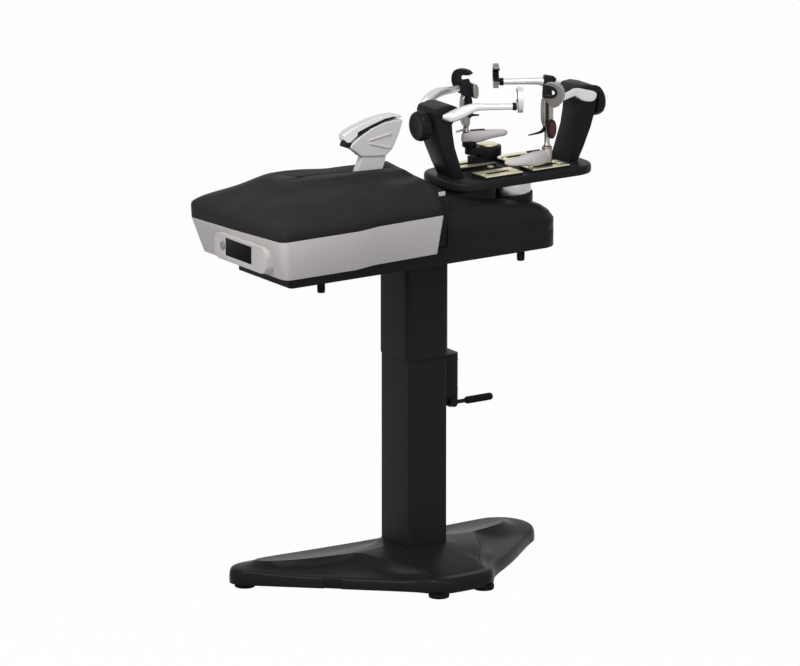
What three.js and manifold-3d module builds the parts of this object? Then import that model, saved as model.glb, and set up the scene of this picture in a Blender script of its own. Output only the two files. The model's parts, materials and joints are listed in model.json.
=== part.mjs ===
// Racket stringing machine: a puller and a turntable on a height-adjustable stand.
// Millimetres, +Z up. X runs along the machine from the display to the turntable, and +Y is the rear.
// The origin is on the floor, under the middle of the machine. Inside the groups, X and Y start at the mast.
import * as THREE from "three";
import { mergeVertices } from "three/addons/utils/BufferGeometryUtils.js";
import Module from "manifold-3d";

const wasm = await Module();
wasm.setup();

// Driving dimensions.
const gap = 0.3; // between pieces that touch
const running = 0.5; // round a piece that slides or turns
const overrun = 6; // how far a cut passes its face
const round = 20; // sides of an ordinary round piece
const fine = 36; // sides of a large round piece
const coarse = 12; // sides of a small round piece

const place = { mastX: -9, mastY: 15 };

const foot = {
  radius: 25, height: 12, frontX: 64, frontY: -203, rearLeftX: -398, rearRightX: 362, rearY: 128,
};
const base = {
  tipLeft: -436, tipRight: 404, rear: 168, front: -234, noseHalf: 92, noseBackX: 108, noseBackY: -178,
  tipLeftY: 118, tipRightY: 84, tipBevel: 26, skirtTop: 40, rearTop: 50, top: 84, plateau: 92,
  edgeRound: 7, notchWidth: 46, notchDepth: 5, notchX: -262, notchY: -44, notchLow: 34,
};
// The base's rings above its skirt: how far in each lies and how high, as shares of the way to the mast.
const baseShares = [[0.03, 0], [0.35, 0.36], [0.7, 0.74], [1, 1]];
const mast = { width: 110, depth: 120, corner: 14, wall: 4, top: 770 };
const sleeve = { wall: 4.7, bottom: 544, top: 783, corner: 17 };
const spring = { radius: 14, bore: 11, top: 470, rod: 5, rodBottom: 230, flange: 22, flangeThick: 8 };
const lock = {
  length: 50, half: 40, bottom: 421, top: 538, corner: 14, hubX: 80, hubZ: 421, lug: 13, shaft: 5,
  hub: 10, hubThick: 14, rootLength: 26, rootRadius: 5, gripRadius: 6.5, gripEnd: 190, gripBore: 3.5,
};

const pan = {
  left: -423, right: 345, half: 116, bottom: 783, top: 824, corner: 10, endCorner: 50, wall: 4,
};
const panFoot = { radius: 9.5, height: 24, tip: 8, left: -328, right: 238, y: 100 };

const tray = {
  left: -507, leftLow: -484, right: -35, rightLow: -40, wide: 205, wideLow: 184, narrow: 187,
  narrowLow: 167, tail: 177, tailLow: 158, stepFrom: -285, stepTo: -222, corner: 24, cornerLow: 20,
  bottom: 824, seam: 913, wall: 4, bow: 3,
};
const seamShare = 0.042; // how much the seam drops for each step to the rear
const display = {
  y: -26, half: 56, bottom: 847, top: 889, thick: 4, raise: 3,
  panelY: -32, panelHalf: 112, panelLow: 834, panelHigh: 896, corner: 22,
};
const button = { y: 42, z: 868, radius: 10, stem: 3, stemLength: 9, head: 3.5, travel: 2.5 };
const cover = {
  rimTop: 946, rimInset: 3, ridgeLeft: -395, ridgeBreak: -278, ridgeRight: -38, ridgeHalf: 55,
  ridgeHigh: 1026, ridgeLow: 1005, crownLeft: -450, crownHalf: 130, crownTail: 113, crownHigh: 989,
  crownLow: 996, wall: 4, slotLeft: -336, slotRight: -86, slotHalf: 13, corner: 22,
};
const board = {
  left: -318, right: -178, fromFront: 55, depth: 80, stand: 8, leg: 3, thick: 2, chips: 9, margin: 14,
};
const supply = { left: -270, right: -160, half: 42, height: 34 };
const inlet = { x: -120, width: 48, height: 26, depth: 22, rim: 4, rimThick: 2, bore: 16, boreDepth: 14 };
const rocker = { x: -66, width: 22, height: 14, depth: 14, crown: 3, rise: 2.5 };

const drive = {
  left: -400, right: -60, plate: 12, half: 62, top: 900, axisZ: 868, rodY: 44, rod: 6,
  screw: 8, motorRadius: 28, motorLength: 56, bearing: 12,
};
const carriage = { left: -172, length: 78, half: 58, low: 852, high: 886 };
const stem = { left: -174, right: -95, half: 9.5, topLeft: -155, topRight: -88, rise: 160 };
const grip = { half: 13, jawHalf: 11, slot: 0.5, clear: 0.4 };
// The gripper's profiles as [x, height above the stem] points: where the jaw meets the body, the jaw's
// back, and the body below.
const jawLine = [[-206, 45], [-168, 63], [-123, 74], [-74, 84], [-38, 83]];
const jawBack = [[-38, 92], [-64, 96], [-123, 85], [-169, 71], [-206, 55]];
const gripBelow = [[-57, 26], [-40, 72]];
const gripNose = [[-204, 38], [-188, 22]];

const axisX = 268; // the turntable's axis, from the mast
const housing = {
  left: 19, bottom: 824, highLeft: 936, highRight: 886, neck: 60, neckTop: 904,
  wall: 4, bridgeLeft: -34, bridgeHalf: 112, bridgeTop: 990, bridgeLow: 958,
  bridgeInset: 18, bridgeWaist: 27,
};
// The housing's rings as [how far in, the share of its height].
const housingSteps = [[0, 0], [0, 0.42], [10, 0.68], [26, 0.88], [46, 1]];
const openShare = -0.1; // the hollow starts this far below the housing's lowest ring
const ring = { radius: 56, top: 942 };
const spindle = { radius: 20, bottom: 830 };
const table = { halfLength: 202, halfWidth: 99, bottom: 942.3, top: 963, corner: 60 };
const rail = { from: 14, to: 121, inner: 28, outer: 86, height: 8, slotHalf: 9, inset: 3, end: 20, sink: 4 };

const tower = { half: 38.5, foot: 963.3, noseFrom: 150, noseTo: 194, noseHalf: 15, noseLow: 1100 };
// A tower's side view from above its foot, as [outward, z] points, clockwise.
const towerOuter = [[176, 963.3], [193, 996], [213, 1041], [225, 1078], [231, 1108], [235, 1128]];
const towerHead = [[230, 1139], [205, 1145], [182, 1143], [164, 1135], [154, 1122], [157, 1112]];
const towerInner = [[172, 1108], [186, 1098], [184, 1075], [178, 1041], [161, 991], [151, 963.3]];
const knob = {
  radius: 36, z: 1095, inner: 232.5, outer: 262, collar: 15, collarThick: 4, flutes: 12, flute: 4,
};
const arm = {
  eyeOut: 205, eyeRadius: 15, eyeZ: 1121, eyeTall: 26, pin: 5, tubeRadius: 8, tubeRise: 20, tubeLength: 96,
  y: 125, overlap: 8, wide: 8, tall: 13,
};
const eyeY = tower.half + gap + arm.eyeRadius;
const tubeZ = arm.eyeZ + arm.tubeRise;
// A side arm's centre line, as shares of the way inwards, sideways and up from its eye to its tube.
const armShares = [[0, 0, 0], [0.3, 0.12, 0.18], [0.62, 0.46, 0.62], [0.85, 0.8, 0.94], [1, 1, 1]];
const hook = { out: 50, thick: 14, turn: Math.PI / 6 };
// A hook's side view as [towards the frame, up] points from the tube's axis.
const hookBelow = [[-4, -15], [6, -15], [16, -5], [22, 6], [23, 12], [18, 14], [11, 14], [7, 18]];
const hookAbove = [[6, 24], [8, 31], [14, 34], [22, 31], [24, 36], [19, 42], [10, 45], [0, 44], [-7, 37]];
const hookBack = [[-9, 26], [-9, -8]];

// The rise of a level is measured from the level below it.
const clamp = {
  x: -17, y: 57, shoeRadius: 31, shoeRise: 22, shoeThick: 23, tongue: 14, shoeLength: 66, keyLength: 26,
  wingX: -56, wingThick: 15, cap: 23, capThick: 3, armRise: 4, armThick: 19, armRadius: 18,
  postRadius: 14, tailRise: 3, tailThick: 12, tipRadius: 9, postX: -74, tailX: 38, armShiftY: 12,
};
const post = {
  radius: 8, rise: 141, headTall: 46, jawTall: 24, headX: 17, headY: 20, corner: 4, slot: 0.6,
};
const glide = {
  shoeX: 40, shoeLength: 44, rise: 5, thick: 17, tail: 38, tailRadius: 11, tipX: 74, tipRadius: 12,
  socket: 10.5, socketTall: 11,
};
const lever = { thick: 5, width: 10, pad: 14, padTall: 44, padThick: 9 };

// Colours, as the photograph shows them.
const finish = (color, roughness, metalness) =>
  new THREE.MeshStandardMaterial({ color, roughness, metalness });
const black = finish(0x2b2b2e, 0.55, 0.1);
const blackSatin = finish(0x232327, 0.4, 0.2);
const silverPaint = finish(0xb9b7ba, 0.45, 0.2);
const castSilver = finish(0xd9d8dc, 0.4, 0.6);
const white = finish(0xe9e9ec, 0.4, 0.1);
const steel = finish(0xc4c6ca, 0.3, 0.9);
const bronze = finish(0x8a8378, 0.4, 0.7);
const rubber = finish(0x18181a, 0.9, 0);
const glass = finish(0x101216, 0.15, 0);
const green = finish(0x1f5a37, 0.6, 0);
const red = finish(0x7c1620, 0.5, 0);
const railGold = finish(0xd8d2a8, 0.3, 0.7);

// Solids.
const toSolid = (geometry) => {
  const bare = geometry.clone();
  bare.deleteAttribute("normal");
  bare.deleteAttribute("uv");
  const merged = mergeVertices(bare, 1e-4);
  const vertProperties = new Float32Array(merged.attributes.position.array);
  const triVerts = new Uint32Array(merged.index.array);
  return new wasm.Manifold(new wasm.Mesh({ numProp: 3, vertProperties, triVerts }));
};
const toGeometry = (solid) => {
  const mesh = solid.getMesh();
  const geometry = new THREE.BufferGeometry();
  geometry.setAttribute("position", new THREE.BufferAttribute(new Float32Array(mesh.vertProperties), 3));
  geometry.setIndex(new THREE.BufferAttribute(new Uint32Array(mesh.triVerts), 1));
  return geometry;
};
const combine = (step, first, rest) =>
  toGeometry(rest.reduce((sum, g) => step(sum, toSolid(g)), toSolid(first)));
const join = (first, ...rest) => combine((sum, solid) => sum.add(solid), first, rest);
const cut = (first, ...rest) => combine((sum, solid) => sum.subtract(solid), first, rest);

const block = (x0, x1, y0, y1, z0, z1) =>
  new THREE.BoxGeometry(x1 - x0, y1 - y0, z1 - z0).translate((x0 + x1) / 2, (y0 + y1) / 2, (z0 + z1) / 2);
const cylinderZ = (radius, x, y, z0, z1, sides = round) =>
  new THREE.CylinderGeometry(radius, radius, z1 - z0, sides)
    .rotateX(Math.PI / 2)
    .translate(x, y, (z0 + z1) / 2);
const cylinderX = (radius, x0, x1, y, z, sides = round) =>
  new THREE.CylinderGeometry(radius, radius, x1 - x0, sides)
    .rotateZ(Math.PI / 2)
    .translate((x0 + x1) / 2, y, z);
const cylinderY = (radius, x, y0, y1, z, sides = round) =>
  new THREE.CylinderGeometry(radius, radius, y1 - y0, sides).translate(x, (y0 + y1) / 2, z);

const roundedShape = (halfX, halfY, radius) => {
  const shape = new THREE.Shape();
  shape.absarc(halfX - radius, halfY - radius, radius, 0, Math.PI / 2);
  shape.absarc(radius - halfX, halfY - radius, radius, Math.PI / 2, Math.PI);
  shape.absarc(radius - halfX, radius - halfY, radius, Math.PI, 1.5 * Math.PI);
  shape.absarc(halfX - radius, radius - halfY, radius, 1.5 * Math.PI, 2 * Math.PI);
  return shape;
};
const slab = (shape, z0, z1, curveSegments = 5) => {
  const depth = z1 - z0;
  return new THREE.ExtrudeGeometry(shape, { depth, bevelEnabled: false, curveSegments }).translate(0, 0, z0);
};
const roundedSlab = (halfX, halfY, radius, z0, z1) => slab(roundedShape(halfX, halfY, radius), z0, z1);
const shapeOf = (points) => new THREE.Shape(points.map(([x, y]) => new THREE.Vector2(x, y)));
const profileY = (points, y0, y1) =>
  new THREE.ExtrudeGeometry(shapeOf(points), { depth: y1 - y0, bevelEnabled: false })
    .rotateX(Math.PI / 2)
    .translate(0, y1, 0);
const turned = (points, sides = round) =>
  new THREE.LatheGeometry(points.map(([r, z]) => new THREE.Vector2(r, z)), sides).rotateX(Math.PI / 2);

// A closed skin through rings of [x, y, z] points, lowest first, each running anticlockwise from above.
const loft = (rings) => {
  const count = rings[0].length;
  const position = rings.flat(2);
  const index = [];
  rings.slice(1).forEach((_, level) => {
    const low = level * count;
    const high = low + count;
    for (let i = 0; i < count; i += 1) {
      const next = (i + 1) % count;
      index.push(low + i, low + next, high + next, low + i, high + next, high + i);
    }
  });
  const flat = (points) => points.map(([x, y]) => new THREE.Vector2(x, y));
  const faces = (points) => THREE.ShapeUtils.triangulateShape(flat(points), []);
  faces(rings[0]).forEach(([a, b, c]) => index.push(a, c, b));
  const top = (rings.length - 1) * count;
  faces(rings.at(-1)).forEach(([a, b, c]) => index.push(top + a, top + b, top + c));
  const geometry = new THREE.BufferGeometry();
  geometry.setAttribute("position", new THREE.Float32BufferAttribute(position, 3));
  geometry.setIndex(index);
  return geometry;
};

const piece = (name, geometry, material) => {
  const mesh = new THREE.Mesh(geometry, material);
  mesh.name = name;
  return mesh;
};
const group = (...children) => {
  const made = new THREE.Group();
  made.add(...children.flat());
  return made;
};

// Stand.
function baseOutline() {
  const { tipLeft, tipRight, tipBevel: bevel, rear, front, noseHalf, noseBackX, noseBackY, edgeRound } = base;
  return [
    [noseHalf, front + bevel], [noseBackX, noseBackY],
    [tipRight - bevel, base.tipRightY - bevel], [tipRight, base.tipRightY + bevel],
    [tipRight - bevel, rear - edgeRound], [tipRight - bevel * 2, rear],
    [mast.width, rear], [-mast.width, rear],
    [tipLeft + bevel * 2, rear], [tipLeft + edgeRound, rear - bevel],
    [tipLeft, base.tipLeftY + edgeRound], [tipLeft + bevel, base.tipLeftY - bevel],
    [-noseBackX, noseBackY], [-noseHalf, front + bevel], [bevel - noseHalf, front], [noseHalf - bevel, front],
  ];
}
function baseCasting() {
  const outline = baseOutline();
  const fair = outline.flatMap(([x, y], i) => {
    const [nextX, nextY] = outline[(i + 1) % outline.length];
    const steps = Math.hypot(nextX - x, nextY - y) > base.plateau ? 5 : 1;
    const at = (k) => [x + ((nextX - x) * k) / steps, y + ((nextY - y) * k) / steps];
    return Array.from({ length: steps }, (_, k) => at(k));
  });
  const lift = base.rearTop - base.skirtTop;
  const edgeTop = (y) => base.skirtTop + lift * THREE.MathUtils.smoothstep(y, 0, base.rear);
  const ringAt = ([inShare, riseShare]) =>
    fair.map(([x, y]) => {
      const scale = 1 - inShare * (1 - base.plateau / Math.hypot(x, y));
      return [x * scale, y * scale, edgeTop(y) + (base.top - edgeTop(y)) * riseShare];
    });
  const flat = fair.map(([x, y]) => [x, y, foot.height + gap]);
  const wall = fair.map(([x, y]) => [x, y, edgeTop(y) - base.edgeRound]);
  const body = loft([flat, wall, ...baseShares.map(ringAt)]);
  return cut(body, baseNotch());
}
// The notch in the front of the skirt on the display side, turned to lie along it.
function baseNotch() {
  const half = base.notchWidth / 2;
  const notch = block(-half, half, -base.tipBevel, base.notchDepth, 0, base.notchLow);
  const rise = base.noseBackY - base.tipLeftY + base.tipBevel;
  const skirt = Math.atan2(rise, -base.noseBackX - base.tipLeft);
  return notch.applyMatrix4(new THREE.Matrix4().makeRotationZ(skirt)).translate(base.notchX, base.notchY, 0);
}

const footPad = (x, y) => {
  const half = foot.height / 2;
  const { radius, height } = foot;
  const profile = [[0, 0], [radius - 2 * gap, 0], [radius, half], [radius, height], [0, height]];
  return turned(profile).translate(x, y, 0);
};

function mastTube() {
  const outer = roundedSlab(mast.width / 2, mast.depth / 2, mast.corner, base.top + gap, mast.top);
  const inner = roundedSlab(
    mast.width / 2 - mast.wall, mast.depth / 2 - mast.wall, mast.corner - mast.wall,
    base.top - overrun, mast.top + overrun,
  );
  return cut(outer, inner);
}

function mastSleeve() {
  const halfX = mast.width / 2 + gap;
  const halfY = mast.depth / 2 + gap;
  const { wall, corner, bottom, top } = sleeve;
  const outer = roundedSlab(halfX + wall, halfY + wall, corner, bottom, top);
  const inner = roundedSlab(halfX, halfY, mast.corner, bottom - overrun, top + overrun);
  return cut(outer, inner);
}

const springTop = pan.bottom + pan.wall;
const springCylinder = () =>
  cut(
    cylinderZ(spring.radius, 0, 0, base.top + gap, spring.top),
    cylinderZ(spring.bore, 0, 0, base.top + spring.flangeThick, spring.top + overrun),
  );
const springRod = () =>
  join(
    cylinderZ(spring.rod, 0, 0, spring.rodBottom, pan.bottom - gap),
    cylinderZ(spring.flange, 0, 0, pan.bottom - gap - spring.flangeThick, pan.bottom - gap),
  );

const lockFace = mast.width / 2 + gap;
function lockHousing() {
  const body = roundedSlab(lock.length / 2, lock.half, lock.corner, lock.bottom, lock.top);
  body.translate(lockFace + lock.length / 2, 0, 0);
  const seat = block(lockFace, lockFace + lock.corner, -lock.half, lock.half, lock.bottom, lock.top);
  const lug = cylinderY(lock.lug, lock.hubX, -lock.half, lock.half, lock.hubZ);
  const bore = cylinderY(lock.shaft + running, lock.hubX, -lock.half - overrun, 0, lock.hubZ);
  return cut(join(body, seat, lug), bore);
}
const leverY = -lock.half - running - lock.hubThick / 2;
function lockLever() {
  const { hub, hubX, hubZ, hubThick, shaft, rootRadius, rootLength, gripBore, gripEnd, gripRadius } = lock;
  const boss = cylinderY(hub, hubX, leverY - hubThick / 2, leverY + hubThick / 2, hubZ);
  const pivot = cylinderY(shaft, hubX, leverY, -overrun, hubZ);
  const root = cylinderX(rootRadius, hubX, hubX + hub + rootLength, leverY, hubZ);
  const spine = cylinderX(gripBore - gap, hubX, gripEnd - gripRadius, leverY, hubZ);
  return join(boss, pivot, root, spine);
}
function lockGrip() {
  const from = lock.hubX + lock.hub + lock.rootLength + gap;
  const boreEnd = lock.gripEnd - lock.gripRadius + gap;
  const skin = cylinderX(lock.gripRadius, from, lock.gripEnd, leverY, lock.hubZ);
  return cut(skin, cylinderX(lock.gripBore, from - overrun, boreEnd, leverY, lock.hubZ));
}

// Head: pan, tray and cover.
function chassisPan() {
  const shape = (inset) => {
    const near = pan.corner - inset / 2;
    const far = pan.endCorner - inset;
    const made = new THREE.Shape();
    const left = pan.left + inset;
    const right = pan.right - inset;
    const half = pan.half - inset;
    made.absarc(right - far, half - far, far, 0, Math.PI / 2);
    made.absarc(left + near, half - near, near, Math.PI / 2, Math.PI);
    made.absarc(left + near, near - half, near, Math.PI, 1.5 * Math.PI);
    made.absarc(right - far, far - half, far, 1.5 * Math.PI, 2 * Math.PI);
    return made;
  };
  const outer = slab(shape(0), pan.bottom + gap, pan.top);
  const inner = slab(shape(pan.wall), pan.bottom + gap + pan.wall, pan.top + overrun);
  const hole = (part, x) =>
    block(
      x - part.width / 2 - gap, x + part.width / 2 + gap, pan.half - 2 * pan.wall, pan.half + overrun,
      portZ - part.height / 2 - gap, portZ + part.height / 2 + gap,
    );
  return cut(outer, inner, hole(inlet, inlet.x), hole(rocker, rocker.x));
}
const portZ = (pan.bottom + pan.top) / 2;
const panPad = (x, y) => {
  const { radius, tip, height } = panFoot;
  const low = pan.bottom - height;
  const profile = [
    [0, low], [radius - gap * 2, low], [radius, low + tip], [radius, pan.bottom], [0, pan.bottom],
  ];
  return turned(profile).translate(x, y, 0);
};

function powerInlet() {
  const face = pan.half + inlet.rimThick;
  const [halfX, halfZ] = [inlet.width / 2, inlet.height / 2];
  const [rimX, rimZ] = [halfX + inlet.rim, halfZ + inlet.rim];
  const [left, right] = [inlet.x - halfX, inlet.x + halfX];
  const body = block(left, right, pan.half - inlet.depth, face, portZ - halfZ, portZ + halfZ);
  const rim = block(inlet.x - rimX, inlet.x + rimX, pan.half + gap, face, portZ - rimZ, portZ + rimZ);
  const well = block(
    inlet.x - inlet.bore, inlet.x + inlet.bore, face - inlet.boreDepth, face + overrun,
    portZ - inlet.bore / 2, portZ + inlet.bore / 2,
  );
  const pinFrom = face - inlet.boreDepth - inlet.rim;
  const pin = (x) => cylinderY(inlet.rimThick, x, pinFrom, face - inlet.rim, portZ, coarse);
  const pins = [inlet.x - inlet.bore / 2, inlet.x, inlet.x + inlet.bore / 2].map(pin);
  return join(cut(join(body, rim), well), ...pins);
}
function powerRocker() {
  const half = rocker.width / 2 - running;
  const tall = rocker.height / 2 - running;
  const narrow = half - rocker.crown;
  const profile = [
    [-narrow, -rocker.depth], [narrow, -rocker.depth], [half, -rocker.crown], [half, rocker.rise], [0, 0],
    [-half, rocker.rise / 2], [-half, -rocker.crown],
  ];
  return slab(shapeOf(profile), -tall, tall);
}

// The tray's and the cover's outline, with the step in at its waist.
function trayOutline(left, right, wide, narrow, tail, corner, bow) {
  const points = [[right, -tail], [right, tail], [tray.stepTo, narrow], [tray.stepFrom, wide]];
  const steps = 4;
  for (let i = 0; i <= steps; i += 1) {
    const a = Math.PI / 2 + (i / steps) * (Math.PI / 2);
    points.push([left + bow + corner + corner * Math.cos(a), wide - corner + corner * Math.sin(a)]);
  }
  points.push([left, 0]);
  for (let i = 0; i <= steps; i += 1) {
    const a = Math.PI + (i / steps) * (Math.PI / 2);
    points.push([left + bow + corner + corner * Math.cos(a), corner - wide + corner * Math.sin(a)]);
  }
  points.push([tray.stepFrom, -wide], [tray.stepTo, -narrow]);
  return points;
}
const level = (outline, z) => outline.map(([x, y]) => [x, y, typeof z === "function" ? z(x, y) : z]);
const seamAt = (x, y) => tray.seam - seamShare * y;
const trayTop = (inset) =>
  trayOutline(
    tray.left + inset, tray.right - inset, tray.wide - inset, tray.narrow - inset, tray.tail - inset,
    tray.corner - inset / 2, tray.bow,
  );
const trayLow = (inset) =>
  trayOutline(
    tray.leftLow + inset, tray.rightLow - inset, tray.wideLow - inset, tray.narrowLow - inset,
    tray.tailLow - inset, tray.cornerLow - inset / 2, tray.bow,
  );

// The display's raised panel stands upright on the sloping end face, and the tray's wall carries it.
const panelX = tray.left - display.raise;
const panelTall = (display.panelHigh - display.panelLow) / 2;
const panelShape = roundedShape(display.panelHalf, panelTall, display.corner);
const facing = (geometry, x) =>
  geometry
    .rotateY(Math.PI / 2)
    .rotateX(Math.PI / 2)
    .translate(x, display.panelY, (display.panelLow + display.panelHigh) / 2);

function trayShell() {
  const floor = tray.bottom + gap;
  const outer = loft([level(trayLow(0), floor), level(trayTop(0), (x, y) => seamAt(x, y) - gap)]);
  const inner = loft([
    level(trayLow(tray.wall), floor + tray.wall),
    level(trayTop(tray.wall), (x, y) => seamAt(x, y) + overrun),
  ]);
  const panel = facing(slab(panelShape, 0, tray.leftLow + tray.wall - panelX), panelX);
  const { y, half, bottom, top, thick } = display;
  const window = block(
    panelX - overrun, panelX + thick, y - half - gap, y + half + gap, bottom - gap, top + gap,
  );
  const before = panelX - overrun;
  const seat = panelX + button.head + running + button.travel;
  const stemHole = cylinderX(button.stem + running, before, tray.leftLow + overrun, button.y, button.z);
  const headHole = cylinderX(button.radius + running, before, seat, button.y, button.z);
  return cut(join(cut(outer, inner), panel), window, stemHole, headHole);
}
function displayWindow() {
  const { y, half, bottom, top, thick } = display;
  return block(panelX + gap, panelX + thick - gap, y - half, y + half, bottom, top);
}
function tensionButton() {
  const face = panelX - button.travel + running;
  const head = cylinderX(button.radius, face, panelX + button.head - running, button.y, button.z);
  const shaft = cylinderX(button.stem, face, tray.leftLow + button.stemLength, button.y, button.z, coarse);
  return join(head, shaft);
}

const ridgeZ = (x) =>
  x < cover.ridgeBreak
    ? cover.ridgeHigh
    : THREE.MathUtils.mapLinear(
        x, cover.ridgeBreak, cover.ridgeRight, cover.ridgeHigh - cover.wall, cover.ridgeLow,
      );
const crownZ = (x) =>
  THREE.MathUtils.mapLinear(x, cover.crownLeft, cover.ridgeRight, cover.crownHigh, cover.crownLow);
function coverSkin(inset, drop) {
  const right = cover.ridgeRight - inset;
  const inTail = cover.crownTail - inset;
  const wide = (tray.wide + cover.crownHalf) / 2;
  const mean = (a, b) => (a + b) / 2;
  const rim = level(trayTop(cover.rimInset + inset), cover.rimTop - drop);
  const haunch = level(
    trayOutline(
      mean(tray.left, cover.crownLeft) + inset, right, wide - inset, mean(tray.narrow, inTail) - inset,
      mean(tray.tail, inTail) + cover.wall - inset, cover.corner, tray.bow,
    ),
    (x) => mean(cover.rimTop, crownZ(x)) - drop + cover.wall,
  );
  const crown = level(
    trayOutline(
      cover.crownLeft + inset, right, cover.crownHalf - inset, inTail + inset, inTail, cover.corner, tray.bow,
    ),
    (x) => crownZ(x) - drop,
  );
  const ridgeHalf = cover.ridgeHalf - inset;
  const ridge = level(
    trayOutline(cover.ridgeLeft + inset, right, ridgeHalf, ridgeHalf, ridgeHalf, cover.corner / 2, tray.bow),
    (x) => ridgeZ(x) - drop,
  );
  return [rim, haunch, crown, ridge];
}
function topCover() {
  const outer = loft([level(trayTop(0), seamAt), ...coverSkin(0, 0)]);
  const low = level(trayTop(cover.wall), (x, y) => seamAt(x, y) - overrun);
  const inner = loft([low, ...coverSkin(cover.wall, cover.wall)]);
  const { slotLeft, slotRight, slotHalf, rimTop, ridgeHigh } = cover;
  const slot = block(slotLeft, slotRight, -slotHalf, slotHalf, rimTop, ridgeHigh + overrun);
  return cut(outer, inner, slot);
}

// Head: what the tray holds.
const trayFloor = tray.bottom + gap + tray.wall + gap;
function controlBoard() {
  const { left, right, fromFront, depth, stand: raised, thick, margin, leg } = board;
  const front = fromFront - tray.wide;
  const rear = front + depth;
  const top = trayFloor + raised + thick;
  const plate = block(left, right, front, rear, trayFloor + raised, top);
  const legs = [left + margin, right - margin].flatMap((x) =>
    [front + margin, rear - margin].map((y) => cylinderZ(leg, x, y, trayFloor, top, coarse)),
  );
  const middle = (front + rear) / 2;
  const chip = block(
    left + margin * 3, right - margin * 4, middle - margin, middle + margin, top - gap, top + board.chips,
  );
  return join(plate, chip, ...legs);
}
function powerSupply() {
  const floor = springTop + gap * 2;
  return block(supply.left, supply.right, -supply.half, supply.half, floor, floor + supply.height);
}

const framePlate = (x) => block(x, x + drive.plate, -drive.half, drive.half, trayFloor, drive.top);
function driveFrame() {
  const reach = [drive.left + drive.plate / 2, drive.right + drive.plate / 2];
  const rods = [-drive.rodY, drive.rodY].map((y) => cylinderX(drive.rod, ...reach, y, drive.axisZ));
  const bore = cylinderX(
    drive.screw + running, drive.left - overrun, drive.right + drive.plate / 2, 0, drive.axisZ,
  );
  return cut(join(framePlate(drive.left), framePlate(drive.right), ...rods), bore);
}
const leadscrew = () =>
  cylinderX(drive.screw, drive.left - gap, drive.right + drive.plate / 2 - gap, 0, drive.axisZ);
function gearMotor() {
  const face = drive.left - gap * 2;
  const body = cylinderX(drive.motorRadius, face - drive.motorLength, face, 0, drive.axisZ);
  const half = drive.half / 2;
  return join(body, block(face - drive.bearing, face, -half, half, trayFloor, drive.axisZ));
}

// Puller.
function pullerCarriage() {
  const right = carriage.left + carriage.length;
  const body = block(carriage.left, right, -carriage.half, carriage.half, carriage.low, carriage.high);
  const bore = (radius, y) =>
    cylinderX(radius + running, carriage.left - overrun, right + overrun, y, drive.axisZ);
  return cut(body, bore(drive.rod, drive.rodY), bore(drive.rod, -drive.rodY), bore(drive.screw, 0));
}
const stemTop = carriage.high + stem.rise;
function pullerStem() {
  const low = carriage.high + gap;
  const profile = [
    [stem.left, low], [stem.right, low], [stem.right, cover.ridgeLow],
    [stem.topRight, stemTop - stem.half], [stem.topLeft, stemTop], [stem.left, cover.ridgeLow],
  ];
  return profileY(profile, -stem.half, stem.half);
}
const aboveStem = (points, drop) => points.map(([x, rise]) => [x, stemTop + rise - drop]);
function gripperBody() {
  const seat = stemTop + grip.clear;
  const profile = [
    [stem.topLeft - gap, seat], [stem.topRight, seat - stem.half], ...aboveStem(gripBelow, 0),
    ...aboveStem(jawLine, grip.slot).reverse(), ...aboveStem(gripNose, 0),
  ];
  return profileY(profile, -grip.half, grip.half);
}
const gripperJaw = () => profileY(aboveStem([...jawLine, ...jawBack], 0), -grip.jawHalf, grip.jawHalf);

// Turntable support.
function housingRing(inset, share, drop) {
  const corner = pan.endCorner - inset / 2;
  const left = housing.left + inset / 2;
  const right = pan.right - inset;
  const half = pan.half - inset;
  const points = [];
  const steps = 5;
  const arc = (cx, cy, from) => {
    for (let i = 0; i <= steps; i += 1) {
      const a = from + (i / steps) * (Math.PI / 2);
      points.push([cx + corner * Math.cos(a), cy + corner * Math.sin(a)]);
    }
  };
  arc(right - corner, corner - half, 1.5 * Math.PI);
  arc(right - corner, half - corner, 0);
  const middle = axisX - housing.neck * 2;
  points.push([middle, half], [left, half], [left, -half], [middle, -half]);
  const topZ = (x) => THREE.MathUtils.mapLinear(x, left, right, housing.highLeft, housing.highRight);
  return points.map(([x, y]) => [x, y, housing.bottom + gap + (topZ(x) - housing.bottom - drop) * share]);
}
const housingSkin = (inset, drop) =>
  housingSteps.map(([inwards, share]) => housingRing(inset + inwards, share, drop));
// The bridge between the tray and the housing.
function bridge(inset, drop) {
  const { bridgeLeft, bridgeHalf, bridgeInset, bridgeWaist, bridgeTop, bridgeLow, left } = housing;
  const right = left + overrun - inset;
  const outline = (narrower) => {
    const half = bridgeHalf - narrower - inset;
    return [[right, -half], [right, half], [bridgeLeft + inset, half], [bridgeLeft + inset, -half]];
  };
  const top = (x) => THREE.MathUtils.mapLinear(x, bridgeLeft, left, bridgeTop, bridgeLow) - drop;
  const floor = housing.bottom + gap - (drop ? overrun : 0);
  const waist = level(outline(0), (x) => top(x) - bridgeWaist);
  return loft([level(outline(0), floor), waist, level(outline(bridgeInset), top)]);
}
function turntableHousing() {
  const { highRight, neckTop, wall } = housing;
  const neck = cylinderZ(housing.neck, axisX, 0, highRight - overrun, neckTop, fine);
  const skin = join(loft(housingSkin(0, 0)), bridge(0, 0), neck);
  const hollow = loft([housingRing(wall, openShare, wall), ...housingSkin(wall, wall)]);
  const shaft = cylinderZ(
    spindle.radius + running, axisX, 0, highRight - overrun * 3, neckTop + overrun, fine,
  );
  return cut(skin, hollow, bridge(wall, wall), shaft);
}
const bearingRing = () =>
  cut(
    cylinderZ(ring.radius, axisX, 0, housing.neckTop + gap, ring.top - gap, fine),
    cylinderZ(spindle.radius + running, axisX, 0, housing.neckTop - overrun, ring.top + overrun, fine),
  );

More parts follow.
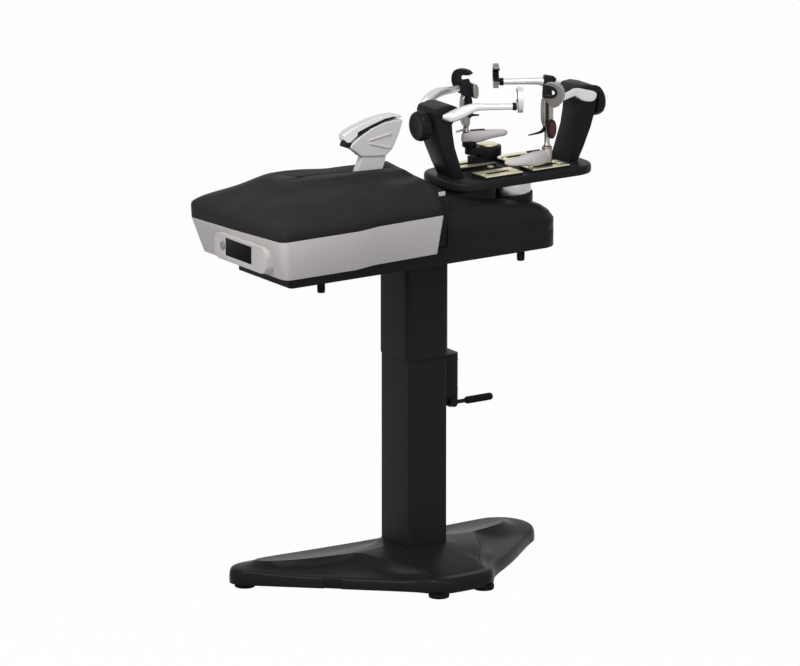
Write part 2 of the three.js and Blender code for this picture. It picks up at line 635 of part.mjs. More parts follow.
// Turntable, in its own group: X runs along the plate from the axis.
function turntablePlate() {
  const outline = roundedShape(table.halfLength, table.halfWidth, table.corner);
  const plate = slab(outline, table.bottom, table.top, 7);
  const quarter = [1, -1].flatMap((x) => [1, -1].map((y) => railSeat(x, y)));
  return cut(plate, ...quarter);
}
const sorted = (a, b) => [Math.min(a, b), Math.max(a, b)];
function railSeat(sideX, sideY) {
  const xs = sorted(sideX * (rail.from + rail.inset - gap), sideX * (rail.to - rail.inset + gap));
  const ys = sorted(sideY * (rail.inner + rail.inset - gap), sideY * (rail.outer - rail.inset + gap));
  return block(...xs, ...ys, table.top - rail.sink - gap, table.top + overrun);
}
function glideRail(sideX, sideY) {
  const xs = sorted(sideX * rail.from, sideX * rail.to);
  const ys = sorted(sideY * rail.inner, sideY * rail.outer);
  const insetX = sorted(sideX * (rail.from + rail.inset), sideX * (rail.to - rail.inset));
  const insetY = sorted(sideY * (rail.inner + rail.inset), sideY * (rail.outer - rail.inset));
  const top = block(...xs, ...ys, table.top + gap, table.top + rail.height);
  const tenon = block(...insetX, ...insetY, table.top - rail.sink, table.top + rail.height / 2);
  const middle = (sideY * (rail.inner + rail.outer)) / 2;
  const slotX = [xs[0] + rail.end, xs[1] - rail.end];
  const [low, high] = [table.top - rail.height, table.top + rail.height * 2];
  const slot = block(...slotX, middle - rail.slotHalf, middle + rail.slotHalf, low, high);
  return cut(join(top, tenon), slot);
}
const turntableSpindle = () => cylinderZ(spindle.radius, 0, 0, spindle.bottom, table.bottom - gap, fine);

// Tower, in its own group: X points outwards, away from the turntable's axis.
function towerBody() {
  const profile = [...towerOuter, ...towerHead, ...towerInner];
  const body = profileY(profile.reverse(), -tower.half, tower.half);
  const bore = cylinderX(arm.pin + running, knob.inner - knob.collar * 2, knob.outer, 0, knob.z);
  const { noseFrom, noseTo, noseHalf, noseLow, half } = tower;
  const top = knob.z + knob.radius * 2;
  const wide = half + overrun;
  const corner = (side) => {
    const inner = [noseFrom - overrun, side * noseHalf];
    const outer = [noseFrom - overrun, side * wide];
    const back = [noseTo, side * wide];
    return slab(shapeOf(side > 0 ? [inner, back, outer] : [inner, outer, back]), noseLow, top);
  };
  return cut(body, bore, corner(1), corner(-1));
}
function towerKnob() {
  const { radius, inner, outer, collar, collarThick, z } = knob;
  const body = cylinderX(radius, inner + collarThick, outer, 0, z, fine);
  const boss = cylinderX(collar, inner, inner + collarThick * 2, 0, z);
  const shaft = cylinderX(arm.pin, inner - collar, outer - collar, 0, z, coarse);
  const flutes = Array.from({ length: knob.flutes }, (_, i) => {
    const a = (i / knob.flutes) * 2 * Math.PI;
    const [y, up] = [radius * Math.cos(a), z + radius * Math.sin(a)];
    return cylinderX(knob.flute, inner + collarThick * 2, outer + overrun, y, up, coarse);
  });
  return join(cut(body, ...flutes), boss, shaft);
}
// A side arm on the +Y side of its tower; the other side mirrors it.
const sweep = (points, halfTall, halfWide) => {
  const extrudePath = new THREE.CatmullRomCurve3(points.map((p) => new THREE.Vector3(...p)));
  const section = new THREE.Shape();
  section.absellipse(0, 0, halfTall, halfWide, 0, 2 * Math.PI);
  return new THREE.ExtrudeGeometry(section, { steps: 10, extrudePath, curveSegments: 6 });
};
function sideArm() {
  const { eyeOut, eyeRadius, eyeZ, eyeTall, tubeRadius, tubeLength, overlap } = arm;
  const { lerp } = THREE.MathUtils;
  const along = (distance) => [
    hook.out + distance * Math.cos(hook.turn), arm.y - distance * Math.sin(hook.turn), tubeZ,
  ];
  const seat = hook.thick / 2 + gap;
  const [far, y, z] = along(seat + tubeLength);
  const line = armShares.map(([inwards, sideways, up]) => [
    lerp(eyeOut, far, inwards), lerp(eyeY, y, sideways), lerp(eyeZ, z, up),
  ]);
  const eye = cylinderZ(eyeRadius, eyeOut, eyeY, eyeZ - eyeTall / 2, eyeZ + eyeTall / 2);
  const root = sweep([...line, along(seat + tubeLength - overlap)], arm.tall, arm.wide);
  const tube = cylinderX(tubeRadius, seat, seat + tubeLength, 0, 0);
  tube.rotateZ(-hook.turn).translate(hook.out, arm.y, tubeZ);
  return join(eye, root, tube);
}
function frameHook() {
  const plate = slab(shapeOf([...hookBelow, ...hookAbove, ...hookBack]), -hook.thick / 2, hook.thick / 2);
  const upright = new THREE.Matrix4().makeBasis(
    new THREE.Vector3(0, -1, 0), new THREE.Vector3(0, 0, 1), new THREE.Vector3(-1, 0, 0),
  );
  return plate.applyMatrix4(upright).rotateZ(-hook.turn).translate(hook.out, arm.y, tubeZ);
}
function towerSet(side) {
  const set = group(
    piece("tower_" + side, towerBody(), black), piece("tower_knob_" + side, towerKnob(), blackSatin),
  );
  const front = side === "left" ? 1 : -1;
  [["front", front], ["rear", -front]].forEach(([end, sign]) => {
    const flip = group(
      piece(`side_arm_${side}_${end}`, sideArm(), castSilver),
      piece(`frame_hook_${side}_${end}`, frameHook(), blackSatin),
    );
    flip.scale.y = sign;
    set.add(flip);
  });
  return set;
}

// String clamp on the rear rails.
const hull = (x0, r0, x1, r1, y) => {
  const shape = new THREE.Shape();
  const lean = Math.acos((r0 - r1) / (x1 - x0));
  shape.absarc(x1, y, r1, -lean, lean);
  shape.absarc(x0, y, r0, lean, 2 * Math.PI - lean);
  return shape;
};
const railTop = table.top + rail.height;
const shoeLow = table.top + clamp.shoeRise;
const shoeHigh = shoeLow + clamp.shoeThick;
const armLow = shoeHigh + clamp.armRise;
const armHigh = armLow + clamp.armThick;
const postTop = table.top + post.rise;
function clampShoe() {
  const { x, y, shoeRadius, tongue, shoeLength, keyLength, wingX, wingThick, armShiftY } = clamp;
  const dial = cylinderZ(shoeRadius, x, y, shoeLow, shoeHigh, fine);
  const left = x + tongue - shoeLength;
  const plate = block(left, x + tongue, y - tongue, y + tongue, railTop + gap, shoeLow + gap);
  const wingShape = hull(wingX, tongue, x, shoeRadius - overrun, y + armShiftY / 2);
  const wing = slab(wingShape, shoeHigh - wingThick, shoeHigh);
  const keyHalf = rail.slotHalf - running;
  const key = block(left, left + keyLength, y - keyHalf, y + keyHalf, table.top + gap, shoeLow);
  return join(dial, plate, wing, key);
}
function clampArm() {
  const { x, y, armRadius, postRadius, postX, armShiftY, tailX, tailThick, tipRadius, cap, capThick } = clamp;
  const tailLow = armLow + clamp.tailRise;
  const wide = slab(hull(postX, postRadius, x, armRadius, y + armShiftY), armLow, armHigh, 8);
  const tail = slab(hull(x, armRadius, tailX, tipRadius, y + armShiftY), tailLow, tailLow + tailThick, 8);
  const foot = cylinderZ(cap, x, y, shoeHigh + gap, shoeHigh + capThick, fine);
  const neck = cylinderZ(tipRadius, x, y + armShiftY / 2, shoeHigh + capThick / 2, armLow + gap);
  return join(wide, tail, foot, neck);
}
function clampHead(x, y, bottom) {
  const { radius, headX, headY, headTall, jawTall, corner, slot } = post;
  const headTop = postTop + headTall;
  const jawTop = headTop + jawTall;
  const stalk = cylinderZ(radius, x, y, bottom, postTop + gap);
  const body = roundedSlab(headX / 2, headY / 2, corner, postTop, headTop).translate(x, y, 0);
  const low = headTop - gap;
  const near = [[slot, low], [headX / 2, low], [headX / 4, jawTop], [slot, jawTop]];
  const far = near.map(([out, z]) => [-out, z]).reverse();
  const jaw = (side) => profileY(side.map(([out, z]) => [x + out, z]), y - headY / 2, y + headY / 2);
  return join(stalk, body, jaw(near), jaw(far));
}

const armY = clamp.y + clamp.armShiftY;
const stringClampRear = () => [
  piece("clamp_rear_shoe", clampShoe(), black),
  piece("clamp_rear_arm", clampArm(), castSilver),
  piece("clamp_rear_head", clampHead(clamp.postX, armY, armHigh + gap), bronze),
  piece("clamp_rear_lever", clampLever(clamp.postX, armY), black),
];
function clampLever(x, y) {
  const z = postTop + post.headTall / 2;
  const near = y - post.headY / 2 - gap;
  const half = lever.width / 2;
  const bar = block(x - half, x + half, near - lever.thick, near, z - half, z + half);
  const [padLow, padHigh] = [z - lever.padTall, z - half + gap];
  const pad = roundedSlab(lever.pad / 2, lever.padThick / 2, lever.thick / 2, padLow, padHigh);
  return join(bar, pad.translate(x, near - lever.thick, 0));
}

// String clamp on the front rails.
const glideLow = railTop + glide.rise;
const glideHigh = glideLow + glide.thick;
const socketTop = glideHigh + glide.socketTall;
function glideShoe() {
  const { shoeX, shoeLength } = glide;
  const right = shoeX + shoeLength;
  const keyHalf = rail.slotHalf - running;
  const [front, rear] = [-clamp.y - clamp.tongue, clamp.tongue - clamp.y];
  const plate = block(shoeX, right, front, rear, railTop + gap, glideLow);
  const key = block(shoeX, right, -clamp.y - keyHalf, keyHalf - clamp.y, table.top + gap, glideLow);
  return join(plate, key);
}
function glideArm() {
  const { tail, tailRadius, tipX, tipRadius, socket } = glide;
  const low = glideLow + gap;
  const plate = slab(hull(-tail, tailRadius, tipX, tipRadius, -clamp.y), low, glideHigh, 8);
  return join(plate, cylinderZ(socket, tipX, -clamp.y, low, socketTop));
}
const stringClampFront = () => [
  piece("clamp_front_shoe", glideShoe(), black),
  piece("clamp_front_arm", glideArm(), castSilver),
  piece("clamp_front_head", clampHead(glide.tipX, -clamp.y, socketTop + gap), bronze),
  piece("clamp_front_lever", clampLever(glide.tipX, -clamp.y), red),
];

// Assembly.
const feet = [
  ["front_left", -foot.frontX, foot.frontY], ["front_right", foot.frontX, foot.frontY],
  ["rear_left", foot.rearLeftX, foot.rearY], ["rear_right", foot.rearRightX, foot.rearY],
].map(([where, x, y]) => piece("foot_" + where, footPad(x, y), rubber));
const panFeet = [
  ["front_left", panFoot.left, -panFoot.y], ["front_right", panFoot.right, -panFoot.y],
  ["rear_left", panFoot.left, panFoot.y], ["rear_right", panFoot.right, panFoot.y],
].map(([where, x, y]) => piece("chassis_foot_" + where, panPad(x, y), rubber));
const switchRocker = piece("power_rocker", powerRocker(), blackSatin);
switchRocker.position.set(rocker.x, pan.half + rocker.crown, portZ);

const stand = group(
  piece("base_casting", baseCasting(), black), feet,
  piece("mast_tube", mastTube(), black), piece("gas_spring_cylinder", springCylinder(), steel),
  piece("lock_housing", lockHousing(), black), piece("lock_lever", lockLever(), blackSatin),
  piece("lock_grip", lockGrip(), rubber),
);
const head = group(
  piece("mast_sleeve", mastSleeve(), black), piece("gas_spring_rod", springRod(), steel),
  piece("chassis_pan", chassisPan(), black), panFeet,
  piece("tray_shell", trayShell(), silverPaint), piece("top_cover", topCover(), black),
  piece("display_window", displayWindow(), glass), piece("tension_button", tensionButton(), blackSatin),
  piece("control_board", controlBoard(), green), piece("power_supply", powerSupply(), steel),
  piece("power_inlet", powerInlet(), blackSatin), switchRocker,
  piece("drive_frame", driveFrame(), steel), piece("leadscrew", leadscrew(), steel),
  piece("gear_motor", gearMotor(), blackSatin),
  piece("turntable_housing", turntableHousing(), black), piece("bearing_ring", bearingRing(), steel),
);
const puller = group(
  piece("puller_carriage", pullerCarriage(), steel), piece("puller_stem", pullerStem(), white),
  piece("gripper_body", gripperBody(), white), piece("gripper_jaw", gripperJaw(), white),
);
const towers = [towerSet("left"), towerSet("right")];
towers[0].rotation.z = Math.PI;
const turntable = group(
  piece("turntable_plate", turntablePlate(), black),
  piece("turntable_spindle", turntableSpindle(), steel),
  piece("rail_rear_right", glideRail(1, 1), railGold),
  piece("rail_front_right", glideRail(1, -1), railGold),
  piece("rail_rear_left", glideRail(-1, 1), railGold),
  piece("rail_front_left", glideRail(-1, -1), railGold),
  towers, stringClampRear(), stringClampFront(),
);
turntable.position.set(axisX, 0, 0);

const machine = group(stand, head, puller, turntable);
machine.position.set(place.mastX, place.mastY, 0);
export default machine;
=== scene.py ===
"""A racket stringing machine on its column stand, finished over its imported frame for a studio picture."""

import json
from math import atan2, cos, degrees, exp, pi, radians, sin

import bmesh
import bpy
from mathutils import Matrix, Vector


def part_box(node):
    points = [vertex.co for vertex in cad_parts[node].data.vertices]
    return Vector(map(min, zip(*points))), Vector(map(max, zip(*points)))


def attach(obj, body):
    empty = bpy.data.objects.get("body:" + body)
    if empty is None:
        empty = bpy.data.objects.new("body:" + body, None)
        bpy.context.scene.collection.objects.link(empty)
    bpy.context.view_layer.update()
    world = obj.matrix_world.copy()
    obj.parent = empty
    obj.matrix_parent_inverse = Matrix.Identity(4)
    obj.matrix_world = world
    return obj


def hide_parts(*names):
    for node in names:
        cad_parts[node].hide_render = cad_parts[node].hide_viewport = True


bl_info = {
    "name": "Stringing machine",
    "version": (1, 0, 0),
    "blender": (4, 5, 0),
    "location": "View3D > Sidebar > Stringer",
    "description": "Builds the finished pieces of a racket stringing machine and its studio stage",
    "category": "Object",
}

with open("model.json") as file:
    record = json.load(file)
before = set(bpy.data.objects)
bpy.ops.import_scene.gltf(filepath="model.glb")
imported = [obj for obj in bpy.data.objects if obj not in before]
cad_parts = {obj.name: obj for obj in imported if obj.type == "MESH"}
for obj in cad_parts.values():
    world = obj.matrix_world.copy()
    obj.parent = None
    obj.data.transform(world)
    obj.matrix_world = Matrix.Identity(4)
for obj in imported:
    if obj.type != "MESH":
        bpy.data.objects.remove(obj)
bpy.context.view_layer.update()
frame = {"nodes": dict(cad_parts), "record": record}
HOME = {n: body for body, names in frame["record"]["behaviour"]["bodies"].items() for n in names}

MM = 0.001
# The column's middle in plan, mm. The points of the shapes below are measured from it.
COLUMN = Vector((-9.0, 15.0, 0.0))
# How far the turntable's axis lies to the right of the column, mm.
TABLE_X = 268.0
CORNERS = ("front_left", "front_right", "rear_left", "rear_right")

# The materials by the keys of FINISHES, once they are made.
MATERIALS = {}
# Points nearer to each other than this are one, in metres: in the scene's own meshes and in those of CAD nodes.
WELD, CAD_WELD = 0.00001, 0.00002
# Degrees: faces of a CAD node that turn less than FLAT are one, and edges that turn more than SHARP get a bevel.
FLAT, SHARP = 0.8, 32
# The width of the blotches in a finish, mm, how far its roughness wanders with the grain, and its bump's strength.
BLOTCH_SIZE, ROUGH_SPREAD, BUMP = 90, 0.06, 0.35


# Colours and nodes.
def linear(code):
    """Linear colour of an sRGB hex code."""
    parts = [int(code[i:i + 2], 16) / 255 for i in (1, 3, 5)]
    return [p / 12.92 if p <= 0.04045 else ((p + 0.055) / 1.055) ** 2.4 for p in parts]


def add(tree, kind, inputs=None, **settings):
    """A new node with its settings made and its inputs filled or linked. A node stands for its first output."""
    node = tree.nodes.new(kind)
    for key, value in settings.items():
        setattr(node, key, value)
    for key, value in (inputs or {}).items():
        value = value.outputs[0] if isinstance(value, bpy.types.Node) else value
        if isinstance(value, bpy.types.NodeSocket):
            tree.links.new(value, node.inputs[key])
        else:
            node.inputs[key].default_value = value
    return node


def cleared(owner):
    """The emptied node tree of a material or a world."""
    owner.use_nodes = True
    owner.node_tree.nodes.clear()
    return owner.node_tree


def finish(name, colour, rough, metal=0.0, lean=0.5, grain=3.0, depth=0.03, blotch=0.08, streak=(1, 1, 1),
           cells=False):
    """A material: grain as a bump and in the gloss, wide blotches in the colour. Grain and depth in mm.
    Cells give the pitted skin of a moulding or casting, and streak draws the grain out along an axis."""
    made = bpy.data.materials.new(name)
    tree = cleared(made)
    place = add(tree, "ShaderNodeTexCoord").outputs["Object"]
    drawn = add(tree, "ShaderNodeMapping", {"Vector": place, "Scale": streak})
    fine = add(tree, "ShaderNodeTexNoise", {"Vector": drawn, "Scale": 1 / (grain * MM), "Detail": 3.0})
    skin = fine
    if cells:
        skin = add(tree, "ShaderNodeTexVoronoi", {
            "Vector": drawn, "Scale": 1 / (grain * MM), "Smoothness": 0.6}, feature="SMOOTH_F1")
    wide = add(tree, "ShaderNodeTexNoise", {"Vector": place, "Scale": 1 / (BLOTCH_SIZE * MM), "Detail": 2.0})
    dark = [c * (1 - blotch) for c in colour[:3]] + [1.0]
    light = [min(1.0, c * (1 + blotch)) for c in colour[:3]] + [1.0]
    tint = add(tree, "ShaderNodeMix", {0: wide, 6: dark, 7: light}, data_type="RGBA")
    gloss = add(tree, "ShaderNodeMapRange", {
        "Value": fine, "To Min": max(0.05, rough - ROUGH_SPREAD), "To Max": min(1.0, rough + ROUGH_SPREAD)})
    bump = add(tree, "ShaderNodeBump", {"Height": skin, "Strength": BUMP, "Distance": depth * MM})
    body = add(tree, "ShaderNodeBsdfPrincipled", {
        "Base Color": tint.outputs[2], "Metallic": metal, "Roughness": gloss, "Normal": bump})
    if metal == 0.0:
        body.inputs["Specular IOR Level"].default_value = lean
    add(tree, "ShaderNodeOutputMaterial", {"Surface": body})
    return made


# Grains finer than about 3 mm are drawn at 3 mm, or they would shimmer.
FINISHES = {
    # Orange-peel skin with a soft sheen: the black of the stand, housing and towers.
    "frame": ("powder_coated_steel_black", "black_paint", 0.4, dict(lean=0.06, depth=0.05)),
    # The same coat on the casting, pitted from the sand skin below it.
    "casting": ("powder_coated_iron_casting", "black_paint", 0.33, dict(lean=0.045, grain=5.0, depth=0.1, cells=True)),
    # A dull, even pitted skin that holds soft highlights only.
    "cover": ("moulded_abs_charcoal", "cover_plastic", 0.5, dict(lean=0.04, depth=0.05, cells=True)),
    # Satin paint over a moulded shell, clean and even.
    "shell": ("painted_abs_light_grey", "shell_paint", 0.45, dict(lean=0.4, grain=4.0, depth=0.02, blotch=0.03)),
    # Small handles and knobs, smoother than the cover.
    "plastic": ("moulded_polypropylene_black", "black_plastic", 0.36, dict(lean=0.06)),
    # The push button, a shade darker than the shell round it.
    "button": ("moulded_abs_mid_grey", "black_plastic", 0.4, dict(lean=0.4)),
    # Matt black without any sheen.
    "rubber": ("moulded_nitrile_rubber", "rubber", 0.85, dict(lean=0.1, depth=0.08, cells=True)),
    # A clear gloss over near black: the readout's front.
    "glass": ("polished_acrylic_smoked", "display_glass", 0.12, dict(lean=0.03, grain=30.0, depth=0.005, blotch=0.02)),
    # Solder-mask green, a little glossy.
    "board": ("solder_masked_fr4_board", "board_green", 0.4, dict(lean=0.4, grain=6.0, depth=0.05, blotch=0.2)),
    # Cold blue-grey with a blotchy passivated tone.
    "zinc": ("zinc_plated_sheet_steel", "zinc_steel", 0.42, dict(metal=1.0, grain=8.0, depth=0.02, blotch=0.12)),
    # Rings left by the lathe, read as a soft streak.
    "steel": ("turned_steel_bright", "bright_steel", 0.3, dict(metal=1.0, depth=0.02, streak=(1, 1, 6))),
    # Thick glossy white, faintly uneven.
    "enamel": ("stoved_white_enamel", "white_paint", 0.3, dict(grain=12.0, blotch=0.02)),
    # Warm pale metal, brushed along the rail before it was anodised.
    "rail": ("anodised_aluminium_champagne", "rail_alloy", 0.38, dict(metal=1.0, grain=4.0, streak=(0.15, 1.6, 1.6))),
    # Castings with a fine blasted skin: bright and soft.
    "cast": ("die_cast_aluminium_satin", "cast_alloy", 0.4, dict(metal=1.0, grain=4.0, depth=0.04)),
    # The clamps' arms: blasted coarser, so that they stay a duller grey.
    "blasted": ("blasted_zinc_casting", "cast_alloy", 0.5, dict(lean=0.3, grain=4.0, depth=0.06, cells=True)),
    # The side arms' alloy drawn in a darker grey, for the hooks at the right and the rear clamp's handle. On the hooks
    # this darker grey is painted shade: all four hooks are one alloy.
    "hook": ("die_cast_aluminium_raw", "hook_alloy", 0.42,
             dict(metal=1.0, grain=5.0, depth=0.08, blotch=0.12, cells=True)),
    # Warm greyish metal of the clamp heads, with the lathe's fine rings.
    "bronze": ("nickel_plated_bronze", "clamp_bronze", 0.34, dict(metal=1.0, grain=4.0, streak=(1, 1, 4))),
    # Dull red plastic.
    "red": ("moulded_nylon_red", "lever_red", 0.5, dict(lean=0.3)),
    # Soft black pads where the racket is held.
    "pad": ("cast_urethane_black", "black_plastic", 0.6, dict(lean=0.15, depth=0.05)),
}
SLOTS = {key: slot for key, (_, slot, _, _) in FINISHES.items()}


# Mesh helpers. Every mesh is made in place, from points in mm.
def spot(x, y, z):
    """A point measured in mm from the column's middle, in metres."""
    return (Vector((x, y, z)) + COLUMN) * MM


def linked(name, data):
    """A new object of a mesh, a lamp or a camera, in the scene."""
    made = bpy.data.objects.new(name, data)
    bpy.context.scene.collection.objects.link(made)
    return made


def baked(made):
    """Gives an object the plain mesh that its modifiers make, and removes them."""
    shape = bpy.data.meshes.new_from_object(made.evaluated_get(bpy.context.evaluated_depsgraph_get()))
    made.modifiers.clear()
    old, made.data = made.data, shape
    bpy.data.meshes.remove(old)
    return made


def object_of(name, mesh, material, smooth=True):
    """An object of a bmesh in the scene: doubles merged, normals outward, one material."""
    bmesh.ops.remove_doubles(mesh, verts=mesh.verts, dist=WELD)
    bmesh.ops.recalc_face_normals(mesh, faces=mesh.faces)
    for face in mesh.faces:
        face.smooth = smooth
    data = bpy.data.meshes.new(name)
    mesh.to_mesh(data)
    mesh.free()
    data.materials.append(material)
    return linked(name, data)


def soften(made, width, steps):
    """A live bevel along the sharp edges, its width in mm, with shading that keeps the flats flat."""
    bevel = made.modifiers.new("edges", "BEVEL")
    bevel.width = width * bpy.context.scene.stringer_sizes.round * MM
    bevel.segments = steps
    bevel.limit_method = "ANGLE"
    bevel.angle_limit = radians(SHARP)
    bevel.harden_normals = True
    bevel.use_clamp_overlap = True


def settle(made, slot, *nodes):
    """Hands a finished object to the frame: its body, and the nodes it stands for, which it hides. The slot is not
    used.
    """
    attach(made, HOME[nodes[0]])
    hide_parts(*nodes)


def piece(name, mesh, key, node, width=0, steps=3, smooth=True, slot=None):
    """A bmesh made into a finished piece for a node: its material's key, and its bevel's width in mm if any."""
    made = object_of(name, mesh, MATERIALS[key], smooth)
    if width:
        soften(made, width, steps)
    settle(made, slot or SLOTS[key], node)


def copies(rows):
    """CAD nodes with merged faces and rounded edges, from rows of material key, bevel width in mm and nodes."""
    for key, width, *nodes in rows:
        for node in nodes:
            mesh = bmesh.new()
            mesh.from_mesh(frame["nodes"][node].data)
            bmesh.ops.remove_doubles(mesh, verts=mesh.verts, dist=CAD_WELD)
            bmesh.ops.dissolve_limit(mesh, angle_limit=radians(FLAT), verts=mesh.verts, edges=mesh.edges)
            piece("v_" + node, mesh, key, node, width)


def rings(loops, looped=False, mesh=None):
    """A mesh of quads between loops of points, all of one count; ends filled, or joined to each other.
    The shapes below are made of such rings. Those that take a mesh add to it."""
    mesh = bmesh.new() if mesh is None else mesh
    rows = [[mesh.verts.new(spot(*p)) for p in loop] for loop in loops]
    count = len(rows[0])
    for low, high in zip(rows, rows[1:] + rows[:1] if looped else rows[1:]):
        for i in range(count):
            j = (i + 1) % count
            mesh.faces.new((low[i], low[j], high[j], high[i]))
    if not looped:
        mesh.faces.new(rows[0][::-1])
        mesh.faces.new(rows[-1])
    return mesh


def stacked(rows):
    """Loops of points from rows of a flat outline and its height."""
    return [[(x, y, z) for x, y in outline] for outline, z in rows]


def between(a, b, share):
    """A share of the way from a to b."""
    return a + (b - a) * share


def eased(value, low, high):
    """0 to 1 as the value goes from low to high, with soft ends."""
    t = min(max((value - low) / (high - low), 0.0), 1.0)
    return t * t * (3 - 2 * t)


def resampled(points, count, start):
    """A closed outline with evenly spaced points, the first one nearest to the start's direction."""
    closed = [Vector(p) for p in points] + [Vector(points[0])]
    lengths = [(b - a).length for a, b in zip(closed, closed[1:])]
    total, spaced, at, i = sum(lengths), [], 0.0, 0
    for k in range(count):
        want = total * k / count
        while at + lengths[i] < want:
            at += lengths[i]
            i += 1
        spaced.append(closed[i].lerp(closed[i + 1], (want - at) / lengths[i]))
    first = max(range(count), key=lambda k: spaced[k].dot(Vector(start)) / max(spaced[k].length, 1e-6))
    return spaced[first:] + spaced[:first]


def corner_arc(x, y, radius, start, steps=8):
    """A quarter turn of points from the start angle, anticlockwise."""
    return [(x + radius * cos(start + a * pi / 2 / steps), y + radius * sin(start + a * pi / 2 / steps))
            for a in range(steps + 1)]


def rounded_box(wide, deep, corner):
    """A rectangle of half sizes with round corners, anticlockwise."""
    x, y = wide - corner, deep - corner
    return (corner_arc(x, -y, corner, -pi / 2) + corner_arc(x, y, corner, 0)
            + corner_arc(-x, y, corner, pi / 2) + corner_arc(-x, -y, corner, pi))


def smooth_path(values, steps):
    """Points on a smooth curve through the values (tuples or vectors of the same length)."""
    made = []
    for i in range(len(values) - 1):
        p0, p1 = values[max(i - 1, 0)], values[i]
        p2, p3 = values[i + 1], values[min(i + 2, len(values) - 1)]
        for k in range(steps):
            t = k / steps
            made.append(tuple(
                0.5 * (2 * b + (c - a) * t + (2 * a - 5 * b + 4 * c - d) * t * t
                       + (3 * b - a - 3 * c + d) * t ** 3) for a, b, c, d in zip(p0, p1, p2, p3)))
    return made + [tuple(values[-1])]


def smooth_outline(points, rounds=2):
    """A closed outline with its corners eased by cutting them off again and again."""
    for _ in range(rounds):
        cut = []
        for a, b in zip(points, points[1:] + points[:1]):
            cut += [tuple(between(p, q, 0.25) for p, q in zip(a, b)),
                    tuple(between(p, q, 0.75) for p, q in zip(a, b))]
        points = tuple(cut)
    return points


def prism(outline, low, high, axis="z", mesh=None):
    """A closed outline carried from low to high along an axis. Outline points are the other two axes in order."""
    return rings([[{"x": (c, a, b), "y": (a, c, b), "z": (a, b, c)}[axis] for a, b in outline]
                  for c in (low, high)], mesh=mesh)


def turned(profile, centre, axis="z", count=48, shape=None):
    """A profile of (radius, height) pairs spun round an axis; shape(angle, height) may press the radius in."""
    loops = []
    for radius, height in profile:
        loop = []
        for i in range(count):
            a = 2 * pi * i / count
            r = radius - (shape(a, height) if shape else 0.0)
            p, q = r * cos(a), r * sin(a)
            x, y, z = {"x": (height, p, q), "y": (p, height, q), "z": (p, q, height)}[axis]
            loop.append((centre[0] + x, centre[1] + y, centre[2] + z))
        loops.append(loop)
    return rings(loops)


def block(low, high, mesh=None):
    """A box between two corners."""
    outline = [(low[0], low[1]), (high[0], low[1]), (high[0], high[1]), (low[0], high[1])]
    return prism(outline, low[2], high[2], mesh=mesh)


def swept(path, count=16, power=2.0):
    """An oval section along a path of (x, y, z, half width across, half height) points; power squares it."""
    loops = []
    for i, (*here, wide, tall) in enumerate(path):
        before, after = path[max(i - 1, 0)], path[min(i + 1, len(path) - 1)]
        along = (Vector(after[:3]) - Vector(before[:3])).normalized()
        across = along.cross(Vector((0, 0, 1)))
        across = across.normalized() if across.length > 1e-6 else Vector((1, 0, 0))
        upright = across.cross(along).normalized()
        loop = []
        for k in range(count):
            a = 2 * pi * k / count
            c, s = cos(a), sin(a)
            p = abs(c) ** (2 / power) * (1 if c >= 0 else -1) * wide
            q = abs(s) ** (2 / power) * (1 if s >= 0 else -1) * tall
            loop.append(Vector(here) + across * p + upright * q)
        loops.append(loop)
    return rings(loops)


def carved(made, cutters):
    """Takes the cutters out of an object's mesh and leaves it plain."""
    for cutter in cutters:
        knife = made.modifiers.new("cut", "BOOLEAN")
        knife.object = cutter
        knife.solver = "EXACT"
    baked(made)
    for cutter in cutters:
        bpy.data.objects.remove(cutter)


# Geometry Nodes helpers.
def grown(name, mesh, tree, values):
    """The object that a node tree makes of a mesh, baked to a plain mesh. Values go in by the input's name."""
    data = bpy.data.meshes.new(name)
    mesh.to_mesh(data)
    mesh.free()
    seed = linked(name, data)
    modifier = seed.modifiers.new("grown", "NODES")
    modifier.node_group = tree
    for item in tree.interface.items_tree:
        if item.item_type == "SOCKET" and item.in_out == "INPUT" and item.name in values:
            modifier[item.identifier] = values[item.name]
    return baked(seed)


def new_tree(name, **inputs):
    """An empty node tree with a geometry input and output and named inputs, given as (kind, default)."""
    tree = bpy.data.node_groups.new(name, "GeometryNodeTree")
    tree.interface.new_socket("Geometry", in_out="INPUT", socket_type="NodeSocketGeometry")
    for key, (kind, default) in inputs.items():
        socket = tree.interface.new_socket(key, in_out="INPUT", socket_type="NodeSocket" + kind)
        socket.default_value = default
    tree.interface.new_socket("Geometry", in_out="OUTPUT", socket_type="NodeSocketGeometry")
    return tree, add(tree, "NodeGroupInput").outputs


def closed(tree, geometry, material):
    """Ends a tree in real geometry with its material."""
    real = add(tree, "GeometryNodeRealizeInstances", {"Geometry": geometry})
    dyed = add(tree, "GeometryNodeSetMaterial", {"Geometry": real, "Material": material})
    add(tree, "NodeGroupOutput", {0: dyed})
    return tree


